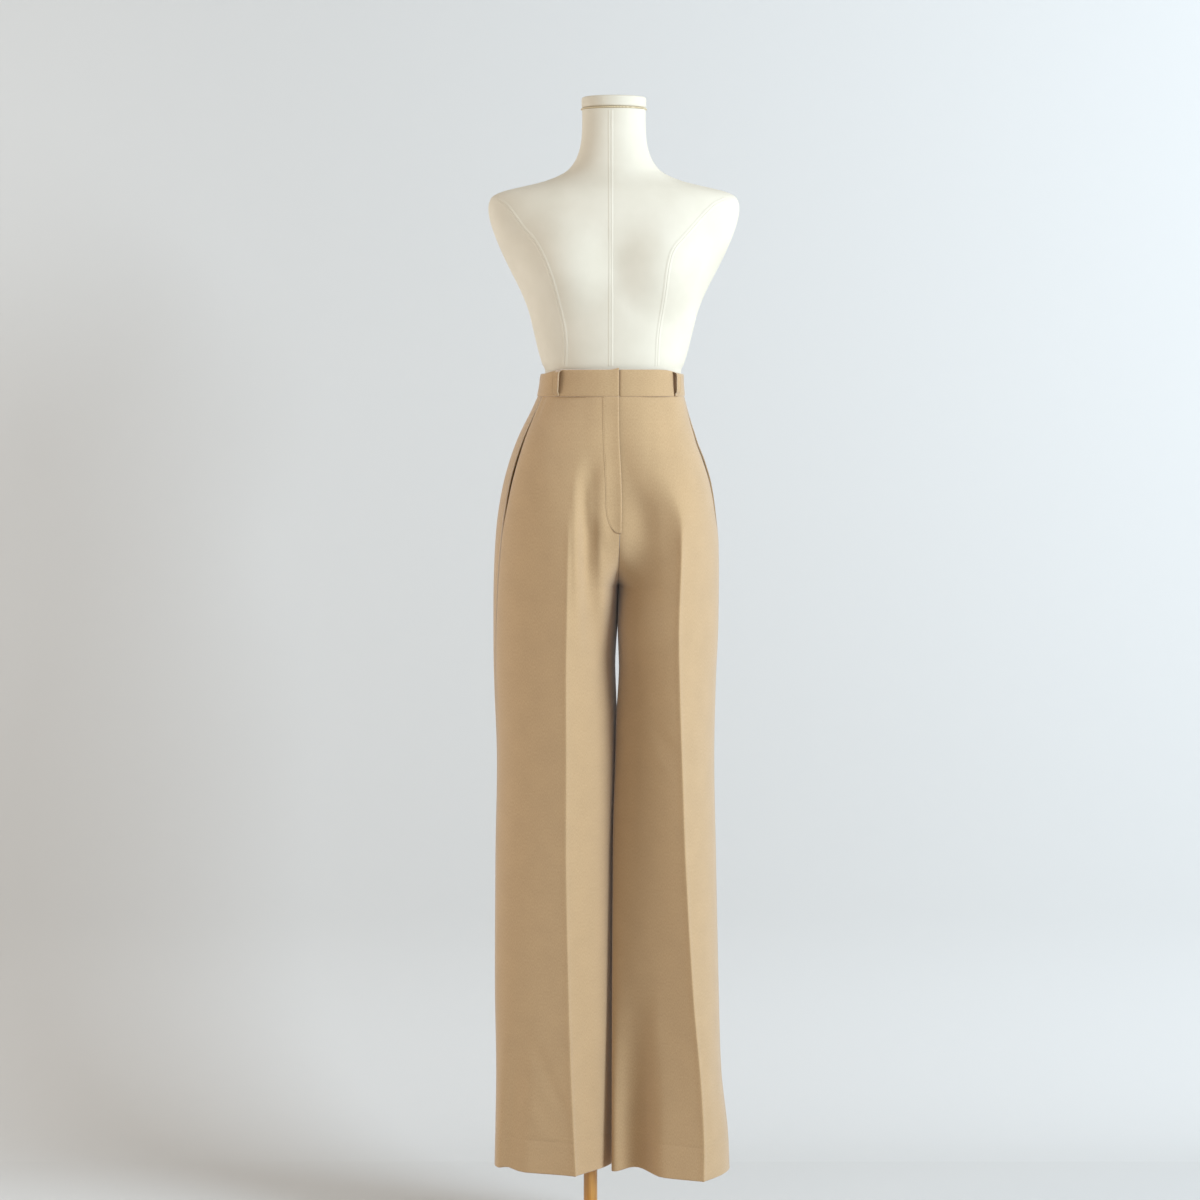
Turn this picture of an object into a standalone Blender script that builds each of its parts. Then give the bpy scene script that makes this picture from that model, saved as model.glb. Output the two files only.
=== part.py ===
"""Straight-leg wool trousers worn by a limbless dress form on a turned wooden stand.

Metres, +Z up. The wearer faces -Y, so the wearer's right leg is on the -X side. The origin
is on the floor, under the middle of the whole part. Every outline is worked out in level
sections: a leg's section runs from its side, over the front crease to the inner leg, and
back over the back crease.
"""

from collections import namedtuple
from math import acos, atan2, cos, pi, radians, sin, sqrt

import bmesh
import bpy
from mathutils import Vector

# Driving sizes of the garment
CLOTH = 0.0015
SEAM_GAP = 0.0003
WAIST_SEAM_Z = 1.2565
BAND_HEIGHT = 0.038
BAND_TOP_Z = WAIST_SEAM_Z + BAND_HEIGHT
CROTCH_Z = 0.984
CROTCH_Y = 0.012
TURN_UP = 0.048
FLY_WIDTH = 0.021
FLY_BOTTOM_Z = 1.063
FLY_ROUND = 0.042
POCKET_TOP_Z = 1.236
POCKET_BOTTOM_Z = 1.062
POCKET_GAPE = 0.0012
FACING_REACH = 0.018
LOOP_WIDTH = 0.010
LOOP_STAND_OFF = 0.0046
UNDERLAP = 0.030

# Driving sizes of the dress form and its stand
POLE_X = -0.033
POLE_RADIUS = 0.010
BASE_RADIUS = 0.148
BASE_HEIGHT = 0.018
HUB_RADIUS = 0.024
HUB_HEIGHT = 0.034
SOCKET_DEPTH = 0.022
TORSO_BOTTOM_Z = 1.030
TORSO_TOP_Z = 1.6667
NECK_X = 0.001
NECK_Y = 0.008
CAP_RADIUS = 0.0465
CAP_HEIGHT = 0.016
RING_HEIGHT = 0.0022
RING_PROUD = 0.0012

# Colours, as the photograph's cloth, cover and varnish read in even light
CAMEL = (0.55, 0.37, 0.19)
CAMEL_INSIDE = (0.48, 0.32, 0.17)
LINEN = (0.86, 0.80, 0.68)
GILT = (0.62, 0.43, 0.20)
VARNISH = (0.50, 0.25, 0.06)

# A leg's sections. x and y of the side, front crease and back crease are world places. The
# slopes, in degrees, say how far the cloth turns back from the X axis as it leaves a crease
# outwards and inwards: small slopes on both sides make the crease fade away. seam is the
# share of the way from the side to the front crease at which the side seam lies.
Section = namedtuple("Section", "z side_x crease_x crease_y out_slope in_slope "
                     "back_x back_y back_out back_in seam")
RIGHT_SECTIONS = [
    Section(1.293, -0.1040, -0.044, -0.0755, 22, -20, -0.050, 0.0745, 22, -20, 0.26),
    Section(1.2565, -0.1095, -0.045, -0.0790, 20, -18, -0.052, 0.0780, 22, -20, 0.27),
    Section(1.193, -0.1392, -0.052, -0.1010, 17, -14, -0.064, 0.0980, 20, -16, 0.29),
    Section(1.139, -0.1570, -0.0586, -0.1140, 17, -9, -0.078, 0.1150, 22, -10, 0.29),
    Section(1.083, -0.1675, -0.0628, -0.1200, 19, 4, -0.092, 0.1250, 25, 2, 0.28),
    Section(1.030, -0.1720, -0.0645, -0.1215, 21, 12, -0.099, 0.1255, 29, 16, 0.25),
    Section(0.961, -0.1740, -0.0657, -0.1210, 23, 26, -0.104, 0.1180, 31, 30, 0.20),
    Section(0.865, -0.1735, -0.0672, -0.1170, 23, 43, -0.106, 0.1120, 33, 34, 0.14),
    Section(0.730, -0.1695, -0.0672, -0.1090, 23, 44, -0.106, 0.1060, 34, 34, 0.09),
    Section(0.586, -0.1720, -0.0677, -0.1000, 23, 46, -0.104, 0.0990, 34, 34, 0.04),
    Section(0.390, -0.1733, -0.0642, -0.0880, 23, 50, -0.102, 0.0920, 34, 34, 0.0),
    Section(0.267, -0.1718, -0.0609, -0.0800, 24, 54, -0.100, 0.0880, 34, 34, 0.0),
    Section(0.127, -0.1745, -0.0545, -0.0710, 26, 58, -0.096, 0.0840, 34, 34, 0.0),
]
LEFT_SECTIONS = [
    Section(1.293, 0.1010, 0.044, -0.0765, 21, -18, 0.040, 0.0760, 21, -18, 0.10),
    Section(1.2565, 0.1033, 0.045, -0.0800, 19, -16, 0.041, 0.0790, 21, -18, 0.11),
    Section(1.193, 0.1215, 0.050, -0.1020, 18, -12, 0.046, 0.1000, 20, -14, 0.12),
    Section(1.164, 0.1325, 0.059, -0.1110, 22, -7, 0.050, 0.1090, 21, -10, 0.12),
    Section(1.132, 0.1418, 0.077, -0.1180, 30, 3, 0.054, 0.1170, 23, -4, 0.12),
    Section(1.090, 0.1485, 0.0945, -0.1225, 42, 18, 0.058, 0.1250, 27, 6, 0.12),
    Section(1.043, 0.1532, 0.0962, -0.1255, 48, 28, 0.062, 0.1265, 29, 17, 0.10),
    Section(0.926, 0.1532, 0.0928, -0.1240, 50, 26, 0.065, 0.1190, 31, 31, 0.06),
    Section(0.843, 0.1498, 0.0942, -0.1200, 50, 24, 0.066, 0.1150, 33, 34, 0.04),
    Section(0.730, 0.1478, 0.0980, -0.1120, 50, 25, 0.067, 0.1090, 34, 34, 0.0),
    Section(0.586, 0.1508, 0.1035, -0.1060, 50, 27, 0.070, 0.1010, 34, 34, 0.0),
    Section(0.391, 0.1553, 0.1153, -0.0970, 50, 28, 0.077, 0.0930, 34, 34, 0.0),
    Section(0.269, 0.1595, 0.1262, -0.0915, 50, 25, 0.082, 0.0890, 34, 34, 0.0),
    Section(0.178, 0.1695, 0.1312, -0.0890, 50, 22, 0.086, 0.0870, 34, 34, 0.0),
    Section(0.124, 0.1720, 0.1311, -0.0885, 50, 20, 0.088, 0.0860, 34, 34, 0.0),
]

# The line between the legs. x is the fold of the lap at the front and the split between the
# legs lower down. Above the crotch front_y and back_y are the centre seams; below it
# right_y and left_y are the two inseams. lap is how far each leg reaches past x. A leg's flat
# is how long its inner side runs straight at the inseam, as a share of its span.
Middle = namedtuple("Middle", "z x lap front_y back_y right_y left_y right_flat left_flat")
MIDDLE = [
    Middle(1.293, 0.0060, -0.0002, -0.0830, 0.0815, 0.012, 0.012, 0.58, 0.58),
    Middle(1.2565, 0.0058, -0.0002, -0.0860, 0.0840, 0.012, 0.012, 0.58, 0.58),
    Middle(1.193, 0.0066, -0.0002, -0.1015, 0.0980, 0.012, 0.012, 0.58, 0.58),
    Middle(1.139, 0.0093, -0.0002, -0.1085, 0.1080, 0.012, 0.012, 0.58, 0.58),
    Middle(1.090, 0.0100, -0.0002, -0.1050, 0.1110, 0.012, 0.012, 0.58, 0.58),
    Middle(1.030, 0.0082, -0.0002, -0.1020, 0.1100, 0.012, 0.012, 0.58, 0.58),
    Middle(0.984, 0.0074, -0.0002, -0.1020, 0.1100, 0.012, 0.012, 0.58, 0.58),
    Middle(0.955, 0.0070, 0.0000, -0.1020, 0.1100, 0.021, 0.001, 0.54, 0.54),
    Middle(0.925, 0.0066, 0.0002, -0.1020, 0.1100, 0.026, -0.010, 0.47, 0.47),
    Middle(0.890, 0.0060, -0.0016, -0.1020, 0.1100, 0.028, -0.016, 0.46, 0.32),
    Middle(0.866, 0.0059, -0.0024, -0.1020, 0.1100, 0.029, -0.018, 0.48, 0.24),
    Middle(0.843, 0.0058, -0.0018, -0.1020, 0.1100, 0.029, -0.020, 0.50, 0.18),
    Middle(0.795, 0.0052, 0.0006, -0.1020, 0.1100, 0.030, -0.022, 0.54, 0.12),
    Middle(0.734, 0.0044, 0.0014, -0.1020, 0.1100, 0.031, -0.024, 0.55, 0.09),
    Middle(0.636, 0.0020, 0.0020, -0.1020, 0.1100, 0.031, -0.025, 0.55, 0.08),
    Middle(0.570, 0.0014, 0.0020, -0.1020, 0.1100, 0.031, -0.026, 0.54, 0.08),
    Middle(0.372, 0.0006, 0.0022, -0.1020, 0.1100, 0.031, -0.027, 0.50, 0.08),
    Middle(0.127, 0.0002, 0.0024, -0.1020, 0.1100, 0.030, -0.027, 0.38, 0.08),
]
FRONT_ARC_TOP_Z = 1.070
BACK_ARC_TOP_Z = 1.080

# The largest folds. Each follows a soft curve through three places on a panel, and is a
# trough where depth is positive. above and below are the lengths over which it fades.
Fold = namedtuple("Fold", "leg side x_top z_top x_mid z_mid x_end z_end width depth above below")
FOLDS = [
    Fold("right", "front", -0.022, 1.190, -0.036, 1.118, -0.020, 1.020, 0.022, 0.0075, 0.06, 0.06),
    Fold("right", "front", -0.040, 1.105, -0.035, 1.000, -0.028, 0.850, 0.020, 0.0115, 0.07, 0.12),
    Fold("left", "front", 0.034, 1.160, 0.040, 1.060, 0.042, 0.920, 0.030, 0.0040, 0.09, 0.10),
    Fold("left", "front", 0.036, 0.440, 0.035, 0.280, 0.034, 0.100, 0.036, 0.0240, 0.29, 0.01),
    Fold("right", "front", -0.128, 0.420, -0.140, 0.280, -0.152, 0.100, 0.022, 0.0070, 0.25, 0.01),
    Fold("right", "back", -0.052, 1.020, -0.050, 0.900, -0.058, 0.740, 0.030, 0.0070, 0.09, 0.12),
    Fold("left", "back", 0.036, 1.000, 0.036, 0.880, 0.038, 0.700, 0.024, 0.0060, 0.08, 0.13),
    Fold("right", "back", -0.140, 0.900, -0.136, 0.760, -0.130, 0.560, 0.026, 0.0045, 0.12, 0.15),
    Fold("left", "back", 0.112, 0.520, 0.116, 0.330, 0.122, 0.110, 0.028, 0.0060, 0.24, 0.01),
]

# Heights of the cloth's rows between the hem and the waist seam
LEG_ROWS = [0.230, 0.300, 0.370, 0.440, 0.510, 0.580, 0.650, 0.720, 0.780, 0.830, 0.880, 0.925,
            0.960, 0.984, 0.990, 1.004, 1.027, 1.046, 1.063, 1.072, 1.086, 1.108, 1.130,
            1.152, 1.174, 1.196, 1.216, 1.234]
FRONT_OUTER_STEPS = 7
FRONT_INNER_STEPS = 9
BACK_INNER_STEPS = 6
BACK_OUTER_STEPS = 5
BACK_WRAP_STEPS = 2
BAND_STEPS = 6
SEAM_SHARE_LEAST = 0.03

# The form's sections: half width, front and back depth, and how square the section is
Ring = namedtuple("Ring", "z half_width front back square")
TORSO_RINGS = [
    Ring(1.0300, 0.112, -0.056, 0.068, 2.1),
    Ring(1.0330, 0.128, -0.067, 0.080, 2.1),
    Ring(1.0420, 0.137, -0.076, 0.091, 2.1),
    Ring(1.0700, 0.142, -0.089, 0.101, 2.1),
    Ring(1.1060, 0.1385, -0.096, 0.104, 2.1),
    Ring(1.1500, 0.127, -0.096, 0.098, 2.1),
    Ring(1.1930, 0.1125, -0.090, 0.090, 2.1),
    Ring(1.2250, 0.1035, -0.083, 0.082, 2.1),
    Ring(1.2470, 0.0990, -0.0785, 0.0775, 2.1),
    Ring(1.2700, 0.0975, -0.0765, 0.0755, 2.1),
    Ring(1.2945, 0.0985, -0.0770, 0.0760, 2.1),
    Ring(1.3015, 0.1020, -0.0785, 0.0775, 2.1),
    Ring(1.3220, 0.1082, -0.0820, 0.0800, 2.15),
    Ring(1.3520, 0.1155, -0.0870, 0.0840, 2.2),
    Ring(1.3810, 0.1230, -0.0910, 0.0880, 2.2),
    Ring(1.4090, 0.1345, -0.0930, 0.0915, 2.2),
    Ring(1.4380, 0.1492, -0.0935, 0.0945, 2.2),
    Ring(1.4670, 0.1632, -0.0925, 0.0965, 2.2),
    Ring(1.4950, 0.1744, -0.0890, 0.0965, 2.15),
    Ring(1.5140, 0.1796, -0.0850, 0.0955, 2.1),
    Ring(1.5280, 0.1808, -0.0810, 0.0940, 2.0),
    Ring(1.5380, 0.1784, -0.0775, 0.0920, 1.9),
    Ring(1.5445, 0.1730, -0.0750, 0.0905, 1.8),
    Ring(1.5510, 0.1575, -0.0720, 0.0880, 1.75),
    Ring(1.5580, 0.1275, -0.0675, 0.0850, 1.75),
    Ring(1.5650, 0.0990, -0.0620, 0.0810, 1.8),
    Ring(1.5760, 0.0730, -0.0545, 0.0740, 1.85),
    Ring(1.5880, 0.0598, -0.0485, 0.0665, 1.95),
    Ring(1.6030, 0.0518, -0.0440, 0.0610, 2.0),
    Ring(1.6200, 0.0474, -0.0405, 0.0565, 2.0),
    Ring(1.6400, 0.0458, -0.0385, 0.0545, 2.0),
    Ring(1.6667, 0.0456, -0.0380, 0.0540, 2.0),
]
TORSO_SEGMENTS = 36
TORSO_RING_GAP = 0.0185
BUST_X = 0.078
BUST_Z = 1.441
BUST_WIDTH = 0.080
BUST_HEIGHT = 0.088
BUST_DEPTH = 0.016
TURNED_SEGMENTS = 32

Spot = namedtuple("Spot", "x y nx ny")


def clear_scene():
    for item in list(bpy.data.objects):
        bpy.data.objects.remove(item, do_unlink=True)


def finish_material(name, colour, roughness, metallic=0.0):
    material = bpy.data.materials.new(name)
    material.use_nodes = True
    shader = material.node_tree.nodes["Principled BSDF"]
    shader.inputs["Base Color"].default_value = (*colour, 1.0)
    shader.inputs["Roughness"].default_value = roughness
    shader.inputs["Metallic"].default_value = metallic
    material.diffuse_color = (*colour, 1.0)
    return material


def add_solid(name, mesh_builder, material):
    bmesh.ops.recalc_face_normals(mesh_builder, faces=mesh_builder.faces)
    mesh = bpy.data.meshes.new(name)
    mesh_builder.to_mesh(mesh)
    mesh_builder.free()
    mesh.materials.append(material)
    mesh.shade_smooth()
    mesh.set_sharp_from_angle(angle=radians(35))
    solid = bpy.data.objects.new(name, mesh)
    bpy.context.scene.collection.objects.link(solid)
    return solid


def smooth_step(share):
    share = min(max(share, 0.0), 1.0)
    return share * share * (3.0 - 2.0 * share)


def along(rows, column, z):
    """A table's column at any height: a smooth curve through its rows, highest row first."""
    rows = sorted(rows, key=lambda row: row.z)
    if z <= rows[0].z:
        return getattr(rows[0], column)
    if z >= rows[-1].z:
        return getattr(rows[-1], column)
    upper = next(i for i, row in enumerate(rows) if row.z > z)
    heights = [row.z for row in rows]
    values = [getattr(row, column) for row in rows]

    def slope(i):
        low, high = max(i - 1, 0), min(i + 1, len(rows) - 1)
        return (values[high] - values[low]) / (heights[high] - heights[low])

    low = upper - 1
    gap = heights[upper] - heights[low]
    t = (z - heights[low]) / gap
    rise = values[low] * (2 * t**3 - 3 * t**2 + 1) + values[upper] * (3 * t**2 - 2 * t**3)
    turn = slope(low) * (t**3 - 2 * t**2 + t) + slope(upper) * (t**3 - t**2)
    return rise + turn * gap


def bezier(span, t):
    """Place and direction at t on a span given by its four control places."""
    a, b, c, d = span
    s = 1.0 - t
    place = a * s**3 + b * 3 * s * s * t + c * 3 * s * t * t + d * t**3
    heading = (b - a) * s * s + (c - b) * 2 * s * t + (d - c) * t * t
    return place, heading.normalized()


HANDLE = 0.36
CREASE_HANDLE = 0.60


def span_between(start, start_angle, end, end_angle, first_reach=None, last_share=HANDLE):
    """A smooth span. The angles, in degrees, head into the span from each of its ends."""
    length = (end - start).length
    first_reach = first_reach or length * HANDLE
    first = Vector((cos(radians(start_angle)), sin(radians(start_angle)))) * first_reach
    last = Vector((cos(radians(end_angle)), sin(radians(end_angle)))) * length * last_share
    return start, start + first, end + last, end


def first_part(span, t):
    """The part of a span before t, as a span of its own."""
    a, b, c, d = span
    ab, bc, cd = a.lerp(b, t), b.lerp(c, t), c.lerp(d, t)
    return a, ab, ab.lerp(bc, t), ab.lerp(bc, t).lerp(bc.lerp(cd, t), t)


def share_at_depth(span, y):
    """Where a span that runs steadily back or forward reaches a depth."""
    low, high = 0.0, 1.0
    runs_back = span[3].y > span[0].y
    for _ in range(30):
        middle = (low + high) / 2
        if (bezier(span, middle)[0].y < y) == runs_back:
            low = middle
        else:
            high = middle
    return (low + high) / 2


class Leg:
    """One leg's outline at any height."""

    def __init__(self, name, outward, sections, hem_z):
        self.name = name
        self.outward = outward
        self.sections = sections
        self.hem_z = hem_z

    def value(self, column, z):
        return along(self.sections, column, z)

    def seam_share(self, z):
        return max(self.value("seam", z), SEAM_SHARE_LEAST)

    def middle_x(self, z):
        return along(MIDDLE, "x", z) - self.outward * along(MIDDLE, "lap", z)

    def seam_place(self, z, side):
        """The centre seam above the crotch, which it reaches along the crotch curve."""
        top_z = FRONT_ARC_TOP_Z if side == "front" else BACK_ARC_TOP_Z
        rise = min((z - CROTCH_Z) / (top_z - CROTCH_Z), 1.0)
        seam_y = along(MIDDLE, side + "_y", max(z, top_z))
        return Vector((self.middle_x(z), CROTCH_Y + (seam_y - CROTCH_Y) * sin(acos(1.0 - rise))))

    def spans(self, z, side):
        """The span from the side to the crease, and the one from the crease to the middle."""
        facing = -1.0 if side == "front" else 1.0
        out = self.outward
        names = ("crease_x", "crease_y", "out_slope", "in_slope")
        if side == "back":
            names = ("back_x", "back_y", "back_out", "back_in")
        crease_x, crease_y, out_slope, in_slope = (self.value(name, z) for name in names)
        edge = Vector((self.value("side_x", z), 0.0))
        crease = Vector((crease_x, crease_y))

        def heading(x_sign, slope):
            return atan2(-sin(radians(slope)) * facing, cos(radians(slope)) * x_sign) * 180.0 / pi

        outer_span = span_between(edge, 90.0 * facing, crease, heading(out, out_slope))
        reach = abs(crease.x - self.middle_x(z)) * CREASE_HANDLE
        inseam = Vector((self.middle_x(z), along(MIDDLE, self.name + "_y", z)))
        whole_leg = span_between(crease, heading(-out, in_slope), inseam, 90.0 * facing, reach,
                                 along(MIDDLE, self.name + "_flat", z))
        if z <= CROTCH_Z:
            return outer_span, whole_leg
        seam = self.seam_place(z, side)
        level = span_between(crease, heading(-out, in_slope), seam, heading(out, 0.0), reach)
        a, b, c, d = first_part(whole_leg, share_at_depth(whole_leg, seam.y))
        joined = (a, b, c + seam - d, seam)
        top_z = FRONT_ARC_TOP_Z if side == "front" else BACK_ARC_TOP_Z
        share = smooth_step((z - CROTCH_Z) / (top_z - CROTCH_Z))
        return outer_span, tuple(p.lerp(q, share) for p, q in zip(joined, level))

    def spot(self, side, span, t):
        """A place on the outline with its outward direction."""
        place, heading = bezier(span, t)
        turn = -self.outward if side == "front" else self.outward
        return Spot(place.x, place.y, heading.y * turn, -heading.x * turn)

    def crease_spot(self, side, outer_span, inner_span):
        first = self.spot(side, outer_span, 1.0)
        second = self.spot(side, inner_span, 0.0)
        middle = Vector((first.nx + second.nx, first.ny + second.ny)).normalized()
        mitre = 1.0 / max(middle.x * first.nx + middle.y * first.ny, 0.6)
        return Spot(first.x, first.y, middle.x * mitre, middle.y * mitre)

    def front_row(self, z):
        outer_span, inner_span = self.spans(z, "front")
        seam = self.seam_share(z)
        row = [self.spot("front", outer_span, seam + (1.0 - seam) * i / FRONT_OUTER_STEPS)
               for i in range(FRONT_OUTER_STEPS)]
        row.append(self.crease_spot("front", outer_span, inner_span))
        row += [self.spot("front", inner_span, i / FRONT_INNER_STEPS)
                for i in range(1, FRONT_INNER_STEPS + 1)]
        return [self.folded(spot, z, "front") for spot in row]

    def back_row(self, z):
        """From the centre back or the inseam, round the side, to the side seam."""
        outer_span, inner_span = self.spans(z, "back")
        row = [self.spot("back", inner_span, 1.0 - i / BACK_INNER_STEPS)
               for i in range(BACK_INNER_STEPS)]
        row.append(self.crease_spot("back", outer_span, inner_span))
        row += [self.spot("back", outer_span, 1.0 - i / BACK_OUTER_STEPS)
                for i in range(1, BACK_OUTER_STEPS + 1)]
        front_span, _ = self.spans(z, "front")
        seam = self.seam_share(z)
        row += [self.spot("front", front_span, seam * i / BACK_WRAP_STEPS)
                for i in range(1, BACK_WRAP_STEPS + 1)]
        return [self.folded(spot, z, "back") for spot in row]

    def folded(self, spot, z, side):
        push = sum(fold_depth(fold, spot.x, z) for fold in FOLDS
                   if fold.leg == self.name and fold.side == side)
        inward = push if side == "front" else -push
        return spot._replace(y=spot.y + inward)


def fold_depth(fold, x, z):
    """How deep a fold is at a place on its panel."""
    z0, z1, z2 = fold.z_top, fold.z_mid, fold.z_end
    if not z2 < z < z0:
        return 0.0
    path = (fold.x_top * (z - z1) * (z - z2) / ((z0 - z1) * (z0 - z2))
            + fold.x_mid * (z - z0) * (z - z2) / ((z1 - z0) * (z1 - z2))
            + fold.x_end * (z - z0) * (z - z1) / ((z2 - z0) * (z2 - z1)))
    across = (x - path) / fold.width
    if abs(across) >= 1.0:
        return 0.0
    fade = smooth_step((z0 - z) / fold.above) * smooth_step((z - z2) / fold.below)
    return fold.depth * fade * (1.0 - across * across) ** 2


def pulled_in(row, first_gap, last_gap):
    """The row with its ends drawn back along the cloth, to part it from its neighbours."""
    def shortened(end, neighbour, gap):
        step = Vector((neighbour.x - end.x, neighbour.y - end.y)).normalized() * gap
        return end._replace(x=end.x + step.x, y=end.y + step.y)

    return ([shortened(row[0], row[1], first_gap)] + row[1:-1]
            + [shortened(row[-1], row[-2], last_gap)])


def moved(row, distance):
    """The row moved outwards along its own directions."""
    return [spot._replace(x=spot.x + spot.nx * distance, y=spot.y + spot.ny * distance)
            for spot in row]


def wall(name, levels, material):
    """A closed wall through levels of (z, outer row, thickness), lowest level first."""
    builder = bmesh.new()
    outer, inner = [], []
    for z, row, thickness in levels:
        outer.append([builder.verts.new((p.x, p.y, z)) for p in row])
        inner.append([builder.verts.new((p.x, p.y, z)) for p in moved(row, -thickness)])
    for skin in (outer, inner):
        for low, high in zip(skin, skin[1:]):
            for i in range(len(low) - 1):
                builder.faces.new((low[i], low[i + 1], high[i + 1], high[i]))
    for i in range(len(outer[0]) - 1):
        for level in (0, -1):
            builder.faces.new((outer[level][i], outer[level][i + 1],
                               inner[level][i + 1], inner[level][i]))
    for level in range(len(levels) - 1):
        for i in (0, -1):
            builder.faces.new((outer[level][i], outer[level + 1][i],
                               inner[level + 1][i], inner[level][i]))
    return add_solid(name, builder, material)


def row_heights(leg):
    """Levels from the hem to the waist seam; the turn-up ends in a short step."""
    turn_up_z = leg.hem_z + TURN_UP
    levels = [(leg.hem_z, 2 * CLOTH), (turn_up_z, 2 * CLOTH), (turn_up_z + 0.002, CLOTH)]
    levels += [(z, CLOTH) for z in LEG_ROWS]
    levels.append((WAIST_SEAM_Z - SEAM_GAP, CLOTH))
    return levels


def pocket_gape(z):
    """0 away from the pocket mouth, 1 at its middle."""
    share = (z - POCKET_BOTTOM_Z) / (POCKET_TOP_Z - POCKET_BOTTOM_Z)
    return sin(pi * share) if 0.0 < share < 1.0 else 0.0


def front_levels(leg):
    levels = []
    for z, thickness in row_heights(leg):
        gape = pocket_gape(z) * POCKET_GAPE
        row = leg.front_row(z)
        row[0] = moved(row[:1], gape)[0]
        row[1] = moved(row[1:2], gape / 2)[0]
        levels.append((z, pulled_in(row, SEAM_GAP / 2 + gape, SEAM_GAP / 2), thickness))
    return levels


def back_levels(leg):
    return [(z, pulled_in(leg.back_row(z), SEAM_GAP / 2, SEAM_GAP / 2), thickness)
            for z, thickness in row_heights(leg)]


def stretch_of(row, start, end, steps):
    """Places at even steps along a row, from a start to an end length along it."""
    lengths = [0.0]
    for a, b in zip(row, row[1:]):
        lengths.append(lengths[-1] + sqrt((b.x - a.x) ** 2 + (b.y - a.y) ** 2))
    places = []
    for step in range(steps + 1):
        target = min(max(start + (end - start) * step / steps, 0.0), lengths[-1])
        i = next((k for k in range(1, len(row)) if lengths[k] >= target), len(row) - 1)
        t = (target - lengths[i - 1]) / max(lengths[i] - lengths[i - 1], 1e-9)
        places.append(Spot(*(a + (b - a) * t for a, b in zip(row[i - 1], row[i]))))
    return places


def row_length(row):
    return sum(sqrt((b.x - a.x) ** 2 + (b.y - a.y) ** 2) for a, b in zip(row, row[1:]))


def make_fly_lap(leg, material):
    """The lap's folded strip on the right front, round at the foot of its outer edge."""
    levels = []
    steps = 4
    arc_z = FLY_BOTTOM_Z + FLY_ROUND
    heights = [z for z in LEG_ROWS if z >= FLY_BOTTOM_Z] + [WAIST_SEAM_Z - SEAM_GAP]
    for z in heights:
        drop = min(max((arc_z - z) / FLY_ROUND, 0.0), 0.97)
        width = FLY_WIDTH * sqrt(1.0 - drop * drop)
        row = pulled_in(leg.front_row(z), 0.0, SEAM_GAP / 2)
        length = row_length(row)
        levels.append((z, moved(stretch_of(row, length - width, length, steps),
                                SEAM_GAP + CLOTH), CLOTH))
    return wall("fly_lap", levels, material)


def make_pocket_facing(leg, material):
    """The cloth behind a pocket mouth, under the front's edge and the back's."""
    levels = []
    heights = [z for z in LEG_ROWS if POCKET_BOTTOM_Z - 0.02 < z] + [WAIST_SEAM_Z - SEAM_GAP]
    for z in heights:
        back = leg.back_row(z)
        row = back[-2:-1] + leg.front_row(z)
        hidden = row_length(row[:2])
        start = max(hidden - 0.004, 0.0)
        stretch = stretch_of(row, start, hidden + FACING_REACH, 4)
        levels.append((z, moved(stretch, -CLOTH - 2 * SEAM_GAP), CLOTH * 0.8))
    return wall("pocket_facing_" + leg.name, levels, material)


# Height share, and how far the band's face stands proud of the panels
BandLevel = namedtuple("BandLevel", "share face")
BAND_LEVELS = [BandLevel(0.0, 0.0001), BandLevel(0.05, 0.0008), BandLevel(0.5, 0.0010),
               BandLevel(0.95, 0.0008), BandLevel(1.0, 0.0001)]
BAND_INSIDE = -0.0012
UNDERLAP_SINK = 0.0026


def band_half(leg, z, first, last):
    """The band's line on one side, from the centre front round to the centre back."""
    steps = BAND_STEPS
    outer, inner = leg.spans(z, "front")
    back_outer, back_inner = leg.spans(z, "back")
    row = [leg.spot("front", inner, 1.0 - i / steps) for i in range(steps)]
    row += [leg.spot("front", outer, 1.0 - i / steps) for i in range(steps)]
    row += [leg.spot("back", back_outer, i / steps) for i in range(steps)]
    row += [leg.spot("back", back_inner, i / steps) for i in range(steps + 1)]
    return pulled_in(row, first, last)


def make_waistband(leg, other, material):
    """One half of the band. The left half runs on under the right half's end."""
    levels = []
    for level in BAND_LEVELS:
        z = WAIST_SEAM_Z + BAND_HEIGHT * level.share
        row = band_half(leg, z, 0.0, SEAM_GAP / 2)
        if leg.name == "left":
            under = stretch_of(band_half(other, z, 0.0, 0.0), UNDERLAP, 0.0, 3)
            slope = moved(row[1:2], -UNDERLAP_SINK * 0.25)
            row = moved(under, -UNDERLAP_SINK) + slope + row[2:]
        levels.append((z, moved(row, level.face), level.face - BAND_INSIDE))
    return wall("waistband_" + leg.name, levels, material)


# Belt loops: which half of the band, and the share of that half's line from the front
BeltLoop = namedtuple("BeltLoop", "name half share")
BELT_LOOPS = [
    BeltLoop("front_right", "right", 0.292), BeltLoop("front_left", "left", 0.339),
    BeltLoop("back_right", "right", 0.700), BeltLoop("back_left", "left", 0.700),
    BeltLoop("center_back", "right", 1.0),
]
LOOP_THICKNESS = 0.0018
LOOP_INSET = 0.0012

# A loop's shape up its height: it is sewn flat at both ends and bowed most near the top
LoopLevel = namedtuple("LoopLevel", "share bow")
LOOP_LEVELS = [LoopLevel(0.0, 0.0), LoopLevel(0.07, 0.0), LoopLevel(0.14, 0.28),
               LoopLevel(0.26, 0.60), LoopLevel(0.42, 0.80), LoopLevel(0.58, 0.92),
               LoopLevel(0.74, 1.0), LoopLevel(0.87, 0.98), LoopLevel(0.94, 0.70),
               LoopLevel(1.0, 0.0)]


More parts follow.
